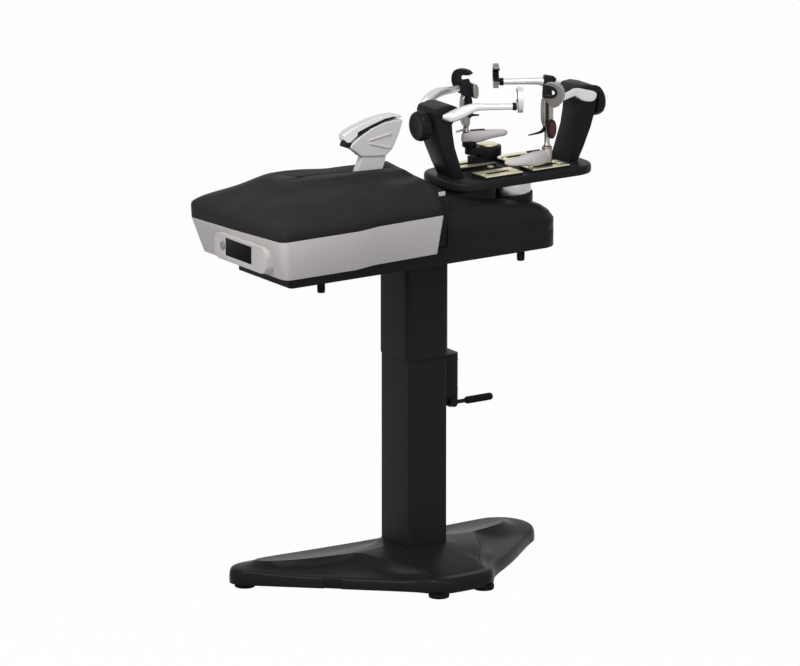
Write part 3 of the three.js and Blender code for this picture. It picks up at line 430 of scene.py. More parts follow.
def screw_tree(material):
    """Cap screws with a six-sided socket, one on the middle of each face of a mesh, along its normal."""
    tree, given = new_tree("cap_screws", Head=("Float", 0.0034), Height=("Float", 0.0024))
    head = add(tree, "GeometryNodeMeshCylinder", {"Vertices": 24, "Radius": given["Head"], "Depth": given["Height"]})
    across = add(tree, "ShaderNodeMath", {0: given["Head"], 1: 0.52}, operation="MULTIPLY")
    up = add(tree, "ShaderNodeMath", {0: given["Height"], 1: 0.6}, operation="MULTIPLY")
    raised = add(tree, "ShaderNodeCombineXYZ", {"Z": up})
    key = add(tree, "GeometryNodeMeshCylinder", {"Vertices": 6, "Radius": across, "Depth": given["Height"]})
    lifted = add(tree, "GeometryNodeTransform", {"Geometry": key, "Translation": raised})
    socket = add(tree, "GeometryNodeMeshBoolean", {"Mesh 1": head, "Mesh 2": lifted}, operation="DIFFERENCE")
    normal = add(tree, "GeometryNodeInputNormal")
    turn = add(tree, "FunctionNodeAlignRotationToVector", {"Vector": normal}, axis="Z").outputs[0]
    points = add(tree, "GeometryNodeMeshToPoints", {"Mesh": given["Geometry"]}, mode="FACES")
    placed = add(tree, "GeometryNodeInstanceOnPoints", {"Points": points, "Instance": socket})
    kept = add(tree, "GeometryNodeCaptureAttribute", {"Geometry": given["Geometry"]}, domain="FACE")
    kept.capture_items.new("ROTATION", "turn")
    tree.links.new(turn, kept.inputs["turn"])
    tree.links.new(kept.outputs["Geometry"], points.inputs["Mesh"])
    tree.links.new(kept.outputs["turn"], placed.inputs["Rotation"])
    return closed(tree, placed, material)


def ribbed_tree(material):
    """A tube along a line of vertices whose radius swells and shrinks: a ribbed grip."""
    tree, given = new_tree("ribbed_grip", Radius=("Float", 0.0065), Depth=("Float", 0.0007), Ribs=("Int", 16))
    line = add(tree, "GeometryNodeMeshToCurve", {"Mesh": given["Geometry"]})
    even = add(tree, "GeometryNodeResampleCurve", {"Curve": line, "Count": 161})
    along = add(tree, "GeometryNodeSplineParameter")
    turns = add(tree, "ShaderNodeMath", {0: given["Ribs"], 1: 2 * pi}, operation="MULTIPLY")
    phase = add(tree, "ShaderNodeMath", {0: along, 1: turns}, operation="MULTIPLY")
    wave = add(tree, "ShaderNodeMath", {0: phase}, operation="COSINE")
    fall = add(tree, "ShaderNodeMath", {0: wave, 1: given["Depth"], 2: given["Radius"]}, operation="MULTIPLY_ADD")
    ends = add(tree, "ShaderNodeMath", {0: along, 1: 0.5}, operation="SUBTRACT")
    reach = add(tree, "ShaderNodeMath", {0: ends}, operation="ABSOLUTE")
    taper = add(tree, "ShaderNodeMapRange", {
        "Value": reach, "From Min": 0.47, "From Max": 0.5, "To Min": 1.0, "To Max": 0.8})
    radius = add(tree, "ShaderNodeMath", {0: fall, 1: taper}, operation="MULTIPLY")
    ring = add(tree, "GeometryNodeCurvePrimitiveCircle", {"Resolution": 32, "Radius": 1.0})
    tube = add(tree, "GeometryNodeCurveToMesh", {
        "Curve": even, "Profile Curve": ring, "Scale": radius, "Fill Caps": True})
    smooth = add(tree, "GeometryNodeSetShadeSmooth", {"Geometry": tube})
    return closed(tree, smooth, material)


def thread_tree(material):
    """A round-nosed thread wound along a screw, with the screw's core through it."""
    tree, given = new_tree("screw_thread", Turns=("Float", 17.0), Core=("Float", 0.0068), Length=("Float", 0.34),
                           Ridge=("Float", 0.0014))
    coil = add(tree, "GeometryNodeCurveSpiral", {
        "Resolution": 24, "Rotations": given["Turns"], "Start Radius": given["Core"], "End Radius": given["Core"],
        "Height": given["Length"]})
    nose = add(tree, "GeometryNodeCurvePrimitiveCircle", {"Resolution": 8, "Radius": given["Ridge"]})
    thread = add(tree, "GeometryNodeCurveToMesh", {"Curve": coil, "Profile Curve": nose, "Fill Caps": True})
    half = add(tree, "ShaderNodeMath", {0: given["Length"], 1: 0.5}, operation="MULTIPLY")
    middle = add(tree, "ShaderNodeCombineXYZ", {"Z": half})
    core = add(tree, "GeometryNodeMeshCylinder", {"Vertices": 32, "Radius": given["Core"], "Depth": given["Length"]})
    lifted = add(tree, "GeometryNodeTransform", {"Geometry": core, "Translation": middle})
    both = add(tree, "GeometryNodeJoinGeometry", {"Geometry": thread})
    tree.links.new(lifted.outputs[0], both.inputs[0])
    smooth = add(tree, "GeometryNodeSetShadeSmooth", {"Geometry": both})
    place = add(tree, "GeometryNodeInstanceOnPoints", {
        "Points": given["Geometry"], "Instance": smooth, "Rotation": (0.0, pi / 2, 0.0)})
    return closed(tree, place, material)


# The stand. The base's outline runs anticlockwise from the front right corner.
BASE_OUTLINE = (
    (60, -227), (90, -212), (112, -172), (222, -92), (340, 14), (384, 46), (402, 84), (396, 118), (372, 152),
    (340, 168), (110, 168), (-110, 168), (-384, 168), (-420, 160), (-434, 142), (-437, 122), (-424, 100),
    (-412, 92), (-262, -42), (-116, -172), (-98, -196), (-82, -218), (-56, -230), (-20, -232), (20, -231))
# The height of the skirt's lower edge, and its rings above that: inset and drop from its upper edge, mm.
SKIRT_FOOT = 12.3
SKIRT = ((0, 22), (0.5, 14), (2, 8), (4.5, 3.5), (8, 1), (12, 0))
# The crest that bounds the hollow panels: bearing from the arm's axis towards the front in degrees,
# share of the way from the edge to the column, height in mm.
CREST = ((-90, 0.10, 52), (-40, 0.10, 54), (-22, 0.12, 58), (-12.6, 0.265, 65), (-2, 0.56, 75), (15, 0.5, 75),
         (33.2, 0.34, 70), (52, 0.24, 63), (66, 0.17, 55), (74, 0.12, 50), (90, 0.11, 49))
# Shares of the way at which the rings lie: over a panel to the crest, and from the crest to the column.
PANEL = (0.25, 0.45, 0.62, 0.76, 0.87, 0.94, 0.98, 1.0)
DECK = (0.015, 0.035, 0.06, 0.09, 0.13, 0.19, 0.27, 0.37, 0.48, 0.6, 0.72, 0.83, 0.92, 1.0)
# Half the width and depth of the rounded square in which the deck ends, and its height.
DECK_END = (66, 71, 84)
# The notch in the front left skirt: its middle, and its corners from there before it is turned along the skirt.
NOTCH_AT = Vector((-262, -44, 0))
NOTCH = ((-24, -40, 0), (24, -40, 0), (21, 5, 0), (-21, 5, 0))


def crest_at(x, y):
    """How far in the crest lies and how high it is, on the bearing of a point."""
    bearing = degrees(atan2(-y, abs(x)))
    line = smooth_path(CREST, 6)
    for (a, share_a, high_a), (b, share_b, high_b) in zip(line, line[1:]):
        if bearing <= b:
            t = (bearing - a) / max(b - a, 1e-6)
            return between(share_a, share_b, t), between(high_a, high_b, t)
    return CREST[-1][1:]


def skirt_top(p):
    """The height of the skirt's upper edge, which rises to the rear and at the front foot."""
    return 40 + 10 * eased(p.y, 0, 168) + 7 * eased(-p.y, 150, 215)


def deck_height(p, crest, u):
    """The height of the deck on its way u from the crest to the column, with the crease beside the front arm."""
    bearing = degrees(atan2(-p.y, abs(p.x)))
    steep = between(4.0, 0.85, eased(bearing, -30, 5))
    crease = 3.2 * eased(bearing, 18, 30) * (1 - eased(bearing, 64, 76)) * exp(-((u - 0.05) / 0.024) ** 2)
    return crest + (DECK_END[2] - crest) * u ** steep - crease


def base_rings():
    """The casting's rings from its foot up over the skirt, the hollow panels and the crest to the column."""
    outline = resampled(smooth_outline(BASE_OUTLINE), 288, (0.0, 1.0))
    made = [[(p.x, p.y, SKIRT_FOOT) for p in outline]]
    for inset, drop in SKIRT:
        made.append([(p.x * (1 - inset / p.length), p.y * (1 - inset / p.length), skirt_top(p) - drop)
                     for p in outline])
    for s, u in [(s, None) for s in PANEL] + [(1.0, u) for u in DECK]:
        made.append([])
        for p in outline:
            share, crest = crest_at(p.x, p.y)
            edge, far = skirt_top(p), p.length
            cx, cy = p.x / far, p.y / far
            near = ((cx / DECK_END[0]) ** 4 + (cy / DECK_END[1]) ** 4) ** -0.25
            if u is None:
                t, high = share * s, edge + (crest - edge) * s ** 2.8
            else:
                t, high = between(share, 1.0, u), deck_height(p, crest, u)
            r = between(far - SKIRT[-1][0], near, t)
            made[-1].append((cx * r, cy * r, high))
    return made


def make_base():
    """The cast base with its hollow panels and the notch in its front left skirt."""
    made = object_of("base_body", rings(base_rings()), MATERIALS["casting"])
    turn = Matrix.Rotation(atan2(-86.0, 108.0) + radians(-4), 3, "Z")
    corners = [turn @ Vector(c) + NOTCH_AT for c in NOTCH]
    notch = prism([(c.x, c.y) for c in corners], 0, 60)
    carved(made, [object_of("notch", notch, MATERIALS["casting"])])
    settle(made, SLOTS["casting"], "base_casting")


STAND_COPIES = (
    ("frame", 3.0, "mast_sleeve"),
    ("frame", 4.0, "lock_housing"),
    ("plastic", 2.0, "lock_lever"),
    ("rubber", 1.5, *("foot_" + corner for corner in CORNERS)),
    ("zinc", 0.8, "gas_spring_cylinder"),
    ("steel", 0.5, "gas_spring_rod"),
)


def make_mast():
    """The square tube of the column, with small corners and its upper edge broken."""
    outer, inner, edge = rounded_box(55, 60, 5), rounded_box(51, 56, 3), rounded_box(54.4, 59.4, 5)
    rows = ((outer, 84.3), (outer, 769), (edge, 770), (inner, 770), (inner, 84.3))
    piece("mast_profile", rings(stacked(rows), looped=True), "frame", "mast_tube", 0.6, 2)


def make_grip(ribs):
    """The ribbed rubber grip on the lock lever, along the line of the CAD grip."""
    low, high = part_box("lock_grip")
    mesh = bmesh.new()
    ends = [mesh.verts.new((x, (low[1] + high[1]) / 2, (low[2] + high[2]) / 2)) for x in (low[0], high[0])]
    mesh.edges.new(ends)
    made = grown("lock_grip_ribs", mesh, ribbed_tree(MATERIALS["rubber"]), {"Ribs": ribs, "Radius": 8.4 * MM})
    settle(made, SLOTS["rubber"], "lock_grip")


# The cover. Its outlines run anticlockwise from the front right corner, each of the same count of points.
COVER_COUNT = 144
# The thickness of its skin, and how far its left end bows out, mm.
COVER_SKIN, BOW = 4.0, 3
# Where the waist begins and ends along the cover, mm.
WAIST = (-285.0, -222.0)
# Soft hollows pressed in the cover: x, y, reach and depth, mm.
DENTS = ((-182, -118, 30, 7.0), (-455, 70, 40, 3.0), (-215, 62, 45, 2.5), (-330, -30, 60, 2.0))
# The slot's rings from its rim down: half its width and the drop below the ridge, mm.
SLOT_LIP = ((12.6, 0.0), (11.4, 0.5), (10.8, 1.6), (10.8, 11), (13, 11))


def tray_outline(left, right, wide, narrow, tail, corner):
    """The outline shared by the cover and the tray, with the step at the waist."""
    return ([(right, -tail), (right, tail), (WAIST[1], narrow), (WAIST[0], wide)]
            + corner_arc(left + BOW + corner, wide - corner, corner, pi / 2)
            + [(left, 0.0)] + corner_arc(left + BOW + corner, corner - wide, corner, pi)
            + [(WAIST[0], -wide), (WAIST[1], -narrow)])


def ridge_at(x, y, tilt):
    """The height of the cover's ridge, which falls towards the housing and a little towards the front."""
    return 1018 - 12 * min(max((x + 330) / 250, 0), 1) - tilt * (60 - y)


def cover_rings(inset):
    """The cover's rings from the seam up to the slot's edge, pulled in by the inset."""
    # Left and right end, half widths left of the waist, right of it and at the right end, corner; then the height.
    levels = (
        ((-505, -35, 203, 185, 175, 16), lambda x, y: 913.4 - 0.042 * y),
        ((-506, -35, 204, 186, 176, 16), lambda x, y: 934),
        ((-503, -36, 201, 183, 173, 18), lambda x, y: 944),
        ((-487, -37, 182, 166, 156, 26), lambda x, y: 958 + 0.012 * (x + 507)),
        ((-448, -38, 128, 118, 113, 44), lambda x, y: 984 + 0.012 * (x + 507)),
        ((-402, -38, 66, 62, 60, 40), lambda x, y: ridge_at(x, y, 0.1)),
        ((-372, -50, 40, 38, 38, 30), lambda x, y: ridge_at(x, y, 0.035) + 2.5),
    )
    made = []
    for sizes, height in levels:
        left, right, wide, narrow, tail, corner = sizes
        outline = tray_outline(left + inset, right - inset, wide - inset, narrow - inset, tail - inset, corner)
        spaced = resampled(outline, COVER_COUNT, (1.0, -0.55))
        made.append([(p.x, p.y, height(p.x, p.y) - inset) for p in spaced])
    sides = list(zip(*made))
    wall = [[side[0], side[1]] + smooth_path(side[1:], 6)[1:] for side in sides]
    rows = [list(row) for row in zip(*wall)]
    for row in rows[3:]:
        for i, (x, y, z) in enumerate(row):
            for at_x, at_y, reach, depth in DENTS:
                z -= depth * exp(-((x - at_x) ** 2 + (y - at_y) ** 2) / reach ** 2)
            row[i] = (x, y, z)
    return rows


def slot_ring(half, drop):
    """A ring round the slot, half its width from its middle and some way below the ridge."""
    outline = [(-86, -half), (-86, half), (-336, half), (-336, -half)]
    return [(p.x, p.y, ridge_at(p.x, p.y, 0.02) + 1.5 - 0.19 * p.y - drop)
            for p in resampled(outline, COVER_COUNT, (1.0, -0.1))]


def make_cover():
    """The moulded cover: a thin skin with a lipped slot along its top for the gripper's stem."""
    lip = [slot_ring(half, drop) for half, drop in SLOT_LIP]
    rows = cover_rings(0.0) + lip + cover_rings(COVER_SKIN)[::-1]
    piece("cover_skin", rings(rows, looped=True), "cover", "top_cover")


HEAD_COPIES = (
    ("frame", 2.5, "chassis_pan"),
    ("frame", 4.0, "turntable_housing"),
    ("shell", 4.0, "tray_shell"),
    ("button", 1.0, "tension_button"),
    ("plastic", 0.8, "power_inlet", "power_rocker"),
    ("rubber", 1.0, *("chassis_foot_" + corner for corner in CORNERS)),
    ("glass", 0.8, "display_window"),
)
DRIVE_COPIES = (
    ("plastic", 1.0, "gear_motor"),
    ("board", 0.4, "control_board"),
    ("zinc", 0.8, "power_supply", "drive_frame", "puller_carriage"),
)


def make_trim():
    """The small light tab and the rise on the bridge, and the thin red gasket under the bearing ring."""
    rise = [(x + 140, y) for x, y in rounded_box(60, 70, 30)]
    gasket = ((57, 899), (59.4, 899), (59.8, 900), (59.8, 902), (59, 904.2), (57, 904.2))
    for name, mesh, key, width in (
            ("bridge_tab", block((-8, -118.5, 951), (10, -114, 961)), "shell", 1.2),
            ("bridge_rise", prism(rise, 890, 939), "frame", 5.0),
            ("neck_gasket", turned(gasket, (TABLE_X, 0, 0), count=96), "red", 0)):
        piece(name, mesh, key, "turntable_housing", width)


def make_leadscrew():
    """The screw that pulls the carriage: a core with its thread wound round it."""
    low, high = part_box("leadscrew")
    mesh = bmesh.new()
    mesh.verts.new((low[0], (low[1] + high[1]) / 2, (low[2] + high[2]) / 2))
    made = grown("leadscrew_thread", mesh, thread_tree(MATERIALS["steel"]), {"Length": high[0] - low[0]})
    settle(made, SLOTS["steel"], "leadscrew")


# The puller's head. Profiles are (x, z) points, carried across the gripper's thickness.
STEM = ((-168, 886.5), (-96, 886.5), (-96, 1006), (-86, 1036), (-94, 1043), (-136, 1047), (-158, 1047),
        (-150, 1046), (-168, 1006))
GRIPPER = ((-158, 1046), (-140, 1043), (-88, 1038), (-68, 1054), (-52, 1084), (-40, 1115), (-41, 1121),
           (-62, 1123), (-93, 1120), (-128, 1110), (-160, 1094), (-186, 1077), (-188, 1070), (-172, 1058))
JAW = ((-186, 1082), (-196, 1082), (-207, 1092), (-206, 1104), (-190, 1113), (-168, 1121), (-127, 1132),
       (-93, 1137), (-64, 1137), (-44, 1131), (-41, 1125), (-66, 1128), (-93, 1124), (-128, 1114.5), (-158, 1104),
       (-164, 1097), (-174, 1091))
JAW_PAD = ((-168, 1095), (-166, 1106), (-127, 1119), (-90, 1129), (-66, 1131), (-58, 1127), (-92, 1122),
           (-127, 1112))
NOSE = ((-204, 1074), (-190, 1069), (-182, 1078), (-186, 1086), (-198, 1090))
RIBS = (((-137, 1081), (-133, 1084.5), (-76, 1094), (-76, 1089)),
        ((-138, 1074), (-134, 1076.5), (-74, 1060), (-74, 1055), (-100, 1061)))


# Each piece: its profile, half its thickness in mm, its material, its node, its bevel in mm and the bevel's steps.
PULLER = {
    "stem_blade": (STEM, 9.5, "enamel", "puller_stem", 2.0, 3),
    "gripper_block": (GRIPPER, 13, "enamel", "gripper_body", 4.0, 4),
    "gripper_arm": (JAW, 11.5, "cast", "gripper_jaw", 3.2, 4),
    "gripper_pad": (JAW_PAD, 12.0, "pad", "gripper_jaw", 0.8, 3),
    "gripper_nose": (NOSE, 11.0, "pad", "gripper_jaw", 1.0, 3),
    "gripper_rib_0": (RIBS[0], 15.8, "enamel", "gripper_body", 1.4, 3),
    "gripper_rib_1": (RIBS[1], 15.8, "enamel", "gripper_body", 1.4, 3),
}


def make_puller():
    """The stem, the gripper with its raised ribs, and the jaw with its dark pad."""
    for name, (profile, half, key, node, width, steps) in PULLER.items():
        piece(name, prism(profile, -half, half, "y"), key, node, width, steps)


# The turntable.
TABLE_COPIES = (("steel", 1.2, "bearing_ring"), ("steel", 0.8, "turntable_spindle"))
# Half the plate's length and depth, and its levels from below as inset and height, mm.
PLATE_HALF = (202, 99)
PLATE = ((3, 942.3), (0.6, 943.4), (0, 946), (0, 957), (0.8, 960), (2.6, 962.2), (5.6, 963))
# Each rail's front left corner. All share their length and depth, the rim round their slot, the height of their
# foot, the height where the bar ends and the face begins, and that of the face, mm.
RAILS = {"rear_left": (147, 28), "front_left": (147, -86), "rear_right": (282, 28), "front_right": (282, -86)}
RAIL_LONG, RAIL_DEEP, RAIL_RIM = 107, 58, 20
RAIL_FOOT, RAIL_SEAM, RAIL_TOP = 959, 968.4, 971
# How far a rail's sides stand over those of its pocket, and the height of the pocket's floor, mm.
RAIL_LAP, POCKET_FLOOR = 2.6, 958.7


def make_plate():
    """The long plate with its rounded upper edge, pocketed for the rails, and a small stop on it."""
    half_long, half_deep = PLATE_HALF
    outline = rounded_box(half_long, half_deep, 60)
    slab = rings([[(TABLE_X + x * (1 - inset / half_long), y * (1 - inset / half_deep), z) for x, y in outline]
                  for inset, z in PLATE])
    made = object_of("table_slab", slab, MATERIALS["frame"])
    pockets = []
    for x, y in sorted(RAILS.values()):
        low = (x + RAIL_LAP, y + RAIL_LAP, POCKET_FLOOR)
        high = (x + RAIL_LONG - RAIL_LAP, y + RAIL_DEEP - RAIL_LAP, RAIL_TOP + 4)
        pockets.append(object_of("pocket", block(low, high), MATERIALS["frame"]))
    carved(made, pockets)
    settle(made, SLOTS["frame"], "turntable_plate")
    stop = block((226, 14, 962.8), (238, 25.4, 966.6))
    piece("table_stop", stop, "enamel", "turntable_plate", 1.0, slot="shell_paint")


def rail_outline(x, y, inset):
    """A rail's rectangle, pulled in on all sides."""
    left, right, front, rear = x + inset, x + RAIL_LONG - inset, y + inset, y + RAIL_DEEP - inset
    return [(left, front), (right, front), (right, rear), (left, rear)]


def make_rails():
    """Four slotted rails: a dark bar with a pale anodised face on it. The bar's black is painted shade on the rails'
    sides.
    """
    for name, (x, y) in RAILS.items():
        inner = rail_outline(x, y, RAIL_RIM)
        for part, key, low, high, inset in (
                # The bar is drawn black as painted shade on the rails' sides; only the face keeps the alloy's pale
                # colour.
                ("bar", "frame", RAIL_FOOT, RAIL_SEAM, 0.0), ("face", "rail", RAIL_SEAM, RAIL_TOP, 0.6)):
            outer = rail_outline(x, y, inset)
            mesh = rings(stacked(((outer, low), (outer, high), (inner, high), (inner, low))), looped=True)
            piece(f"rail_{name}_{part}", mesh, key, "rail_" + name, 0.5, 2, smooth=False)


# The towers, in their own frame from the turntable's axis: outwards, sideways, up.
TOWER_COPIES = (("frame", 5.0, "tower_left", "tower_right"),)
# The arms are paths for swept().
ARM = ((219, 47, 1121, 5, 6), (205, 53.8, 1121, 11, 12.5), (190, 56, 1123.5, 12, 14), (174, 59.5, 1128.5, 11, 14),
       (160, 64.5, 1134.5, 9.5, 12.5), (148, 69.5, 1139, 8.5, 10.5), (138, 74.2, 1141, 7.8, 9),
       (120, 84.6, 1141, 7.5, 8), (96, 98.5, 1141, 7.3, 7.5), (57, 121, 1141, 7.3, 7.3))
# The left rear arm rises over its tower's top before it comes down to its hook.
HIGH_ARM = ((219, 47, 1124, 5, 6), (206, 46.5, 1136, 10, 12), (190, 52, 1145.5, 11, 12.5),
            (172, 60, 1149.5, 11, 12), (149, 72, 1150.5, 10.5, 11), (120, 86, 1148, 9.5, 9.6),
            (98, 97.4, 1144.5, 8.5, 8.6), (72, 112.3, 1141.4, 7.5, 7.6), (57, 121, 1141, 7.3, 7.3))
COLLAR = ((66, 115.8, 1141, 9.2, 9.2), (58, 120.4, 1141, 9.2, 9.2))
KNUCKLE = ((174, 59.5, 1139, 9, 9), (171, 60.5, 1141, 11, 11), (153, 67.5, 1145, 11, 11), (150, 69, 1145, 9.5, 9.5))
# Where an arm's axis meets its hook. The hook's side view, and the lining of its mouth, are (towards the
# frame, up) points from there.
HOOK_AT = Vector((50, 125, 1141))
HOOK = ((-4, -15), (7, -15), (14, -7), (25, 0), (28, 4), (26, 8), (16, 9), (4, 10), (-6, 16), (-6, 27), (4, 34),
        (18, 34), (26, 36), (25, 41), (12, 45), (-3, 45), (-15, 41), (-22, 31), (-24, 17), (-21, 4), (-13, -6))
LINING = ((28, 5), (27, 11.5), (16, 13), (6, 14), (-2, 18.5), (-2, 25), (6, 30.5), (18, 30.6), (28, 33), (28, 38),
          (18, 38), (3, 37), (-9, 28.5), (-9, 15), (3, 7), (16, 6.5))
# The left hooks' materials and slots; the right ones take the darker hook finish. All four hooks are one alloy, so
# these tones are painted light and shade: the left front one drawn bright, the left rear one black.
HOOK_PAINTED_LIGHT_AND_SHADE = {"left_rear": ("plastic", "black_plastic"), "left_front": ("cast", "hook_alloy")}
# A knob's half section as (radius, distance from the turntable's axis).
KNOB = ((14, 230.5), (14.6, 233), (14.6, 237), (30, 237.2), (34.5, 238.6), (36, 242), (36, 254), (35, 258.5),
        (32.4, 261.2), (29, 262), (22, 261.4), (18, 260.4), (9, 260.2), (4, 260.1))


def tower_place(side, end):
    """Takes a point of the tower's frame to the machine's."""
    out, across = (1 if side == "right" else -1), (1 if end == "rear" else -1)
    return lambda p: (TABLE_X + out * p[0], across * p[1], *p[2:])


def hook_plate(outline, half, here):
    """A hook's side view, thickened along its arm and turned to face the racket's frame."""
    toward, along = Vector((-0.5, -0.866, 0)), Vector((0.866, -0.5, 0))
    return rings([[here(HOOK_AT + toward * a + along * side + Vector((0, 0, b)))
                   for a, b in smooth_outline(outline, 1)] for side in (-half, half)])


def make_arms():
    """Four tapering side arms, their collars and their lined hooks."""
    for side in ("left", "right"):
        for end in ("front", "rear"):
            here, name = tower_place(side, end), f"{side}_{end}"
            bar = [here(p) for p in smooth_path(HIGH_ARM if name == "left_rear" else ARM, 4)]
            piece(f"arm_{name}_bar", swept(bar, 40, 2.4), "cast", "side_arm_" + name)
            collar = [here(p) for p in COLLAR]
            piece(f"arm_{name}_collar", swept(collar, 24), "plastic", "side_arm_" + name, 1.0)
            # The hooks' three tones, bright, darker grey and black, are painted light and shade on one alloy.
            key, slot = HOOK_PAINTED_LIGHT_AND_SHADE.get(name, ("hook", "hook_alloy"))
            piece(f"hook_{name}_plate", hook_plate(HOOK, 6.5, here), key, "frame_hook_" + name, 1.8, slot=slot)
            piece(f"hook_{name}_lining", hook_plate(LINING, 7.6, here), "pad", "frame_hook_" + name, 1.0)
    knuckle = [tower_place("right", "rear")(p) for p in KNUCKLE]
    piece("arm_right_rear_knuckle", swept(knuckle, 16, 5.0), "plastic", "side_arm_right_rear", 1.5)


def make_knobs():
    """Two round knobs with twelve shallow scallops, a dished face and a collar behind."""
    for side, out in (("left", -1), ("right", 1)):
        mesh = turned([(r, out * x) for r, x in KNOB], (TABLE_X, 0, 1095), "x", 144,
                      lambda a, h: 2.4 * max(0.0, cos(12 * a)) ** 3 if 238 < abs(h) < 261 else 0.0)
        piece(f"knob_{side}_turned", mesh, "plastic", "tower_knob_" + side)


# The string clamps: the middle of the rear one's round shoe, and the two heads' posts.
SHOE = (251, 57, 0)
REAR_POST, FRONT_POST = (194, 69), (342, -57)


def clamp_pieces(name, rows):
    """Pieces of one clamp, from rows of part, mesh, material key, link of the clamp and bevel width in mm."""
    for part, mesh, key, link, width in rows:
        piece(f"clamp_{name}_{part}", mesh, key, f"clamp_{name}_{link}", width)


def clamp_head(name, x, y, foot):
    """A clamp's turned post, the casting on it, and two tapering jaws with a dark toothed plate inside each."""
    post = ((8.4, foot), (8.4, foot + 4), (6.6, foot + 6), (6.6, 1060), (7.4, 1062), (7.4, 1096))
    casting = ((x - 6, 1058), (x + 6, 1058), (x + 9, 1072), (x + 9, 1128), (x + 5, 1136), (x - 9, 1136),
               (x - 14, 1126), (x - 15, 1092), (x - 13, 1074))
    clamp_pieces(name, (
        ("post", turned(post, (x, y, 0), count=32), "bronze", "head", 0),
        ("casting", prism(smooth_outline(casting, 1), y - 8, y + 8, "y"), "bronze", "head", 2.5)))
    for side in (-1, 1):
        jaw = [(y + side * out, z) for out, z in (
            (1.8, 1120), (9.5, 1120), (10, 1142), (8, 1160), (4.6, 1172), (1.8, 1172))]
        clamp_pieces(name, [(f"jaw_{side + 1}", prism(jaw, x - 8.5, x + 8.5, "x"), "frame", "head", 1.4)])
        teeth = bmesh.new()
        low, high = sorted((y + side * 0.4, y + side * 2.2))
        for k in range(5):
            tooth = x - 8 + k * 3.4
            block((tooth, low, 1146), (tooth + 2.4, high, 1173.6), teeth)
        low, high = sorted((y + side * 1.2, y + side * 2.4))
        block((x - 8.2, low, 1138), (x + 8.2, high, 1152), teeth)
        piece(f"clamp_{name}_teeth_{side + 1}", teeth, "pad", f"clamp_{name}_head", smooth=False)


def blade(path):
    """A thin tapering lever along a path for swept()."""
    return swept(smooth_path(path, 4), 16, 3.0)


def clamp_foot(x, y, half, top, low, high):
    """A clamp's foot: a rounded pad on the rail's face, and a key that runs in its slot."""
    pad = [(x + a, y + b) for a, b in rounded_box(half, 14, 5)]
    return block(low, high, prism(pad, RAIL_TOP + 0.3, top))


def make_rear_clamp():
    """The clamp on the rear rails: a round shoe, a turning arm and its head."""
    drum = ((29, 984), (31, 985.5), (31, 1005), (29.6, 1007.4), (27, 1008))
    wing = [(206 + 14 * cos(radians(d)), 66 + 14 * sin(radians(d))) for d in range(92, 279, 12)]
    wing += [(236, 32), (262, 34), (270, 60), (250, 84)]
    disc = ((22.6, 1008.2), (23, 1008.8), (23, 1010.6), (22.2, 1011.6), (20.6, 1011.9), (6, 1012.2))
    cup = ((16.5, 1008.4), (17.6, 1010), (17.6, 1022), (16.8, 1023.6), (12, 1024))
    paddle = ((183, 71, 1032, 2, 4), (188, 70, 1031.6, 9, 12), (205, 66, 1031.4, 15, 15), (226, 59, 1033, 16, 14),
              (250, 51, 1036, 14, 10.5), (268, 45, 1037, 10.5, 9), (284, 39, 1037.5, 7.4, 7.4),
              (291, 36.5, 1038, 2.4, 3.4))
    clamp_pieces("rear", (
        ("drum", turned(drum, SHOE, count=72), "frame", "shoe", 0),
        ("wing", prism(wing, 990, 1007.6), "frame", "shoe", 2.0),
        ("foot", clamp_foot(234, 57, 36, 986, (199, 49, 963.4), (225, 65, 976)), "frame", "shoe", 1.0),
        ("disc", turned(disc, SHOE, count=64), "rail", "arm", 0),
        ("cup", turned(cup, (203, 67, 0)), "plastic", "arm", 0),
        ("paddle", blade(paddle), "blasted", "arm", 0),
        ("strip", prism(((208, 72), (206, 63), (238, 52), (241, 60)), 1045, 1049), "plastic", "arm", 1.0)))
    clamp_head("rear", *REAR_POST, 1044)
    boss = ((201.8, 1130), (213, 1126), (218, 1134), (218, 1152), (212, 1163), (201.8, 1164))
    trigger = ((188, 1134), (188, 1090), (191, 1082), (198, 1082), (200.6, 1090), (200.6, 1134))
    handle = ((190, 66, 1052, 3, 3), (178, 66, 1051, 2.6, 2.2), (164, 66, 1049, 1.6, 1.6))
    tip = ((199, 53, 1089, 3, 4), (210, 53, 1087, 3, 2.6), (220, 53, 1086, 2, 2))
    clamp_pieces("rear", (
        ("handle", blade(handle), "hook", "head", 0),
        ("boss", prism(smooth_outline(boss, 1), 48, 66, "y"), "bronze", "head", 2.0),
        ("trigger", prism(smooth_outline(trigger, 1), 49.6, 56, "y"), "plastic", "lever", 2.0),
        ("tip", blade(tip), "plastic", "lever", 0)))


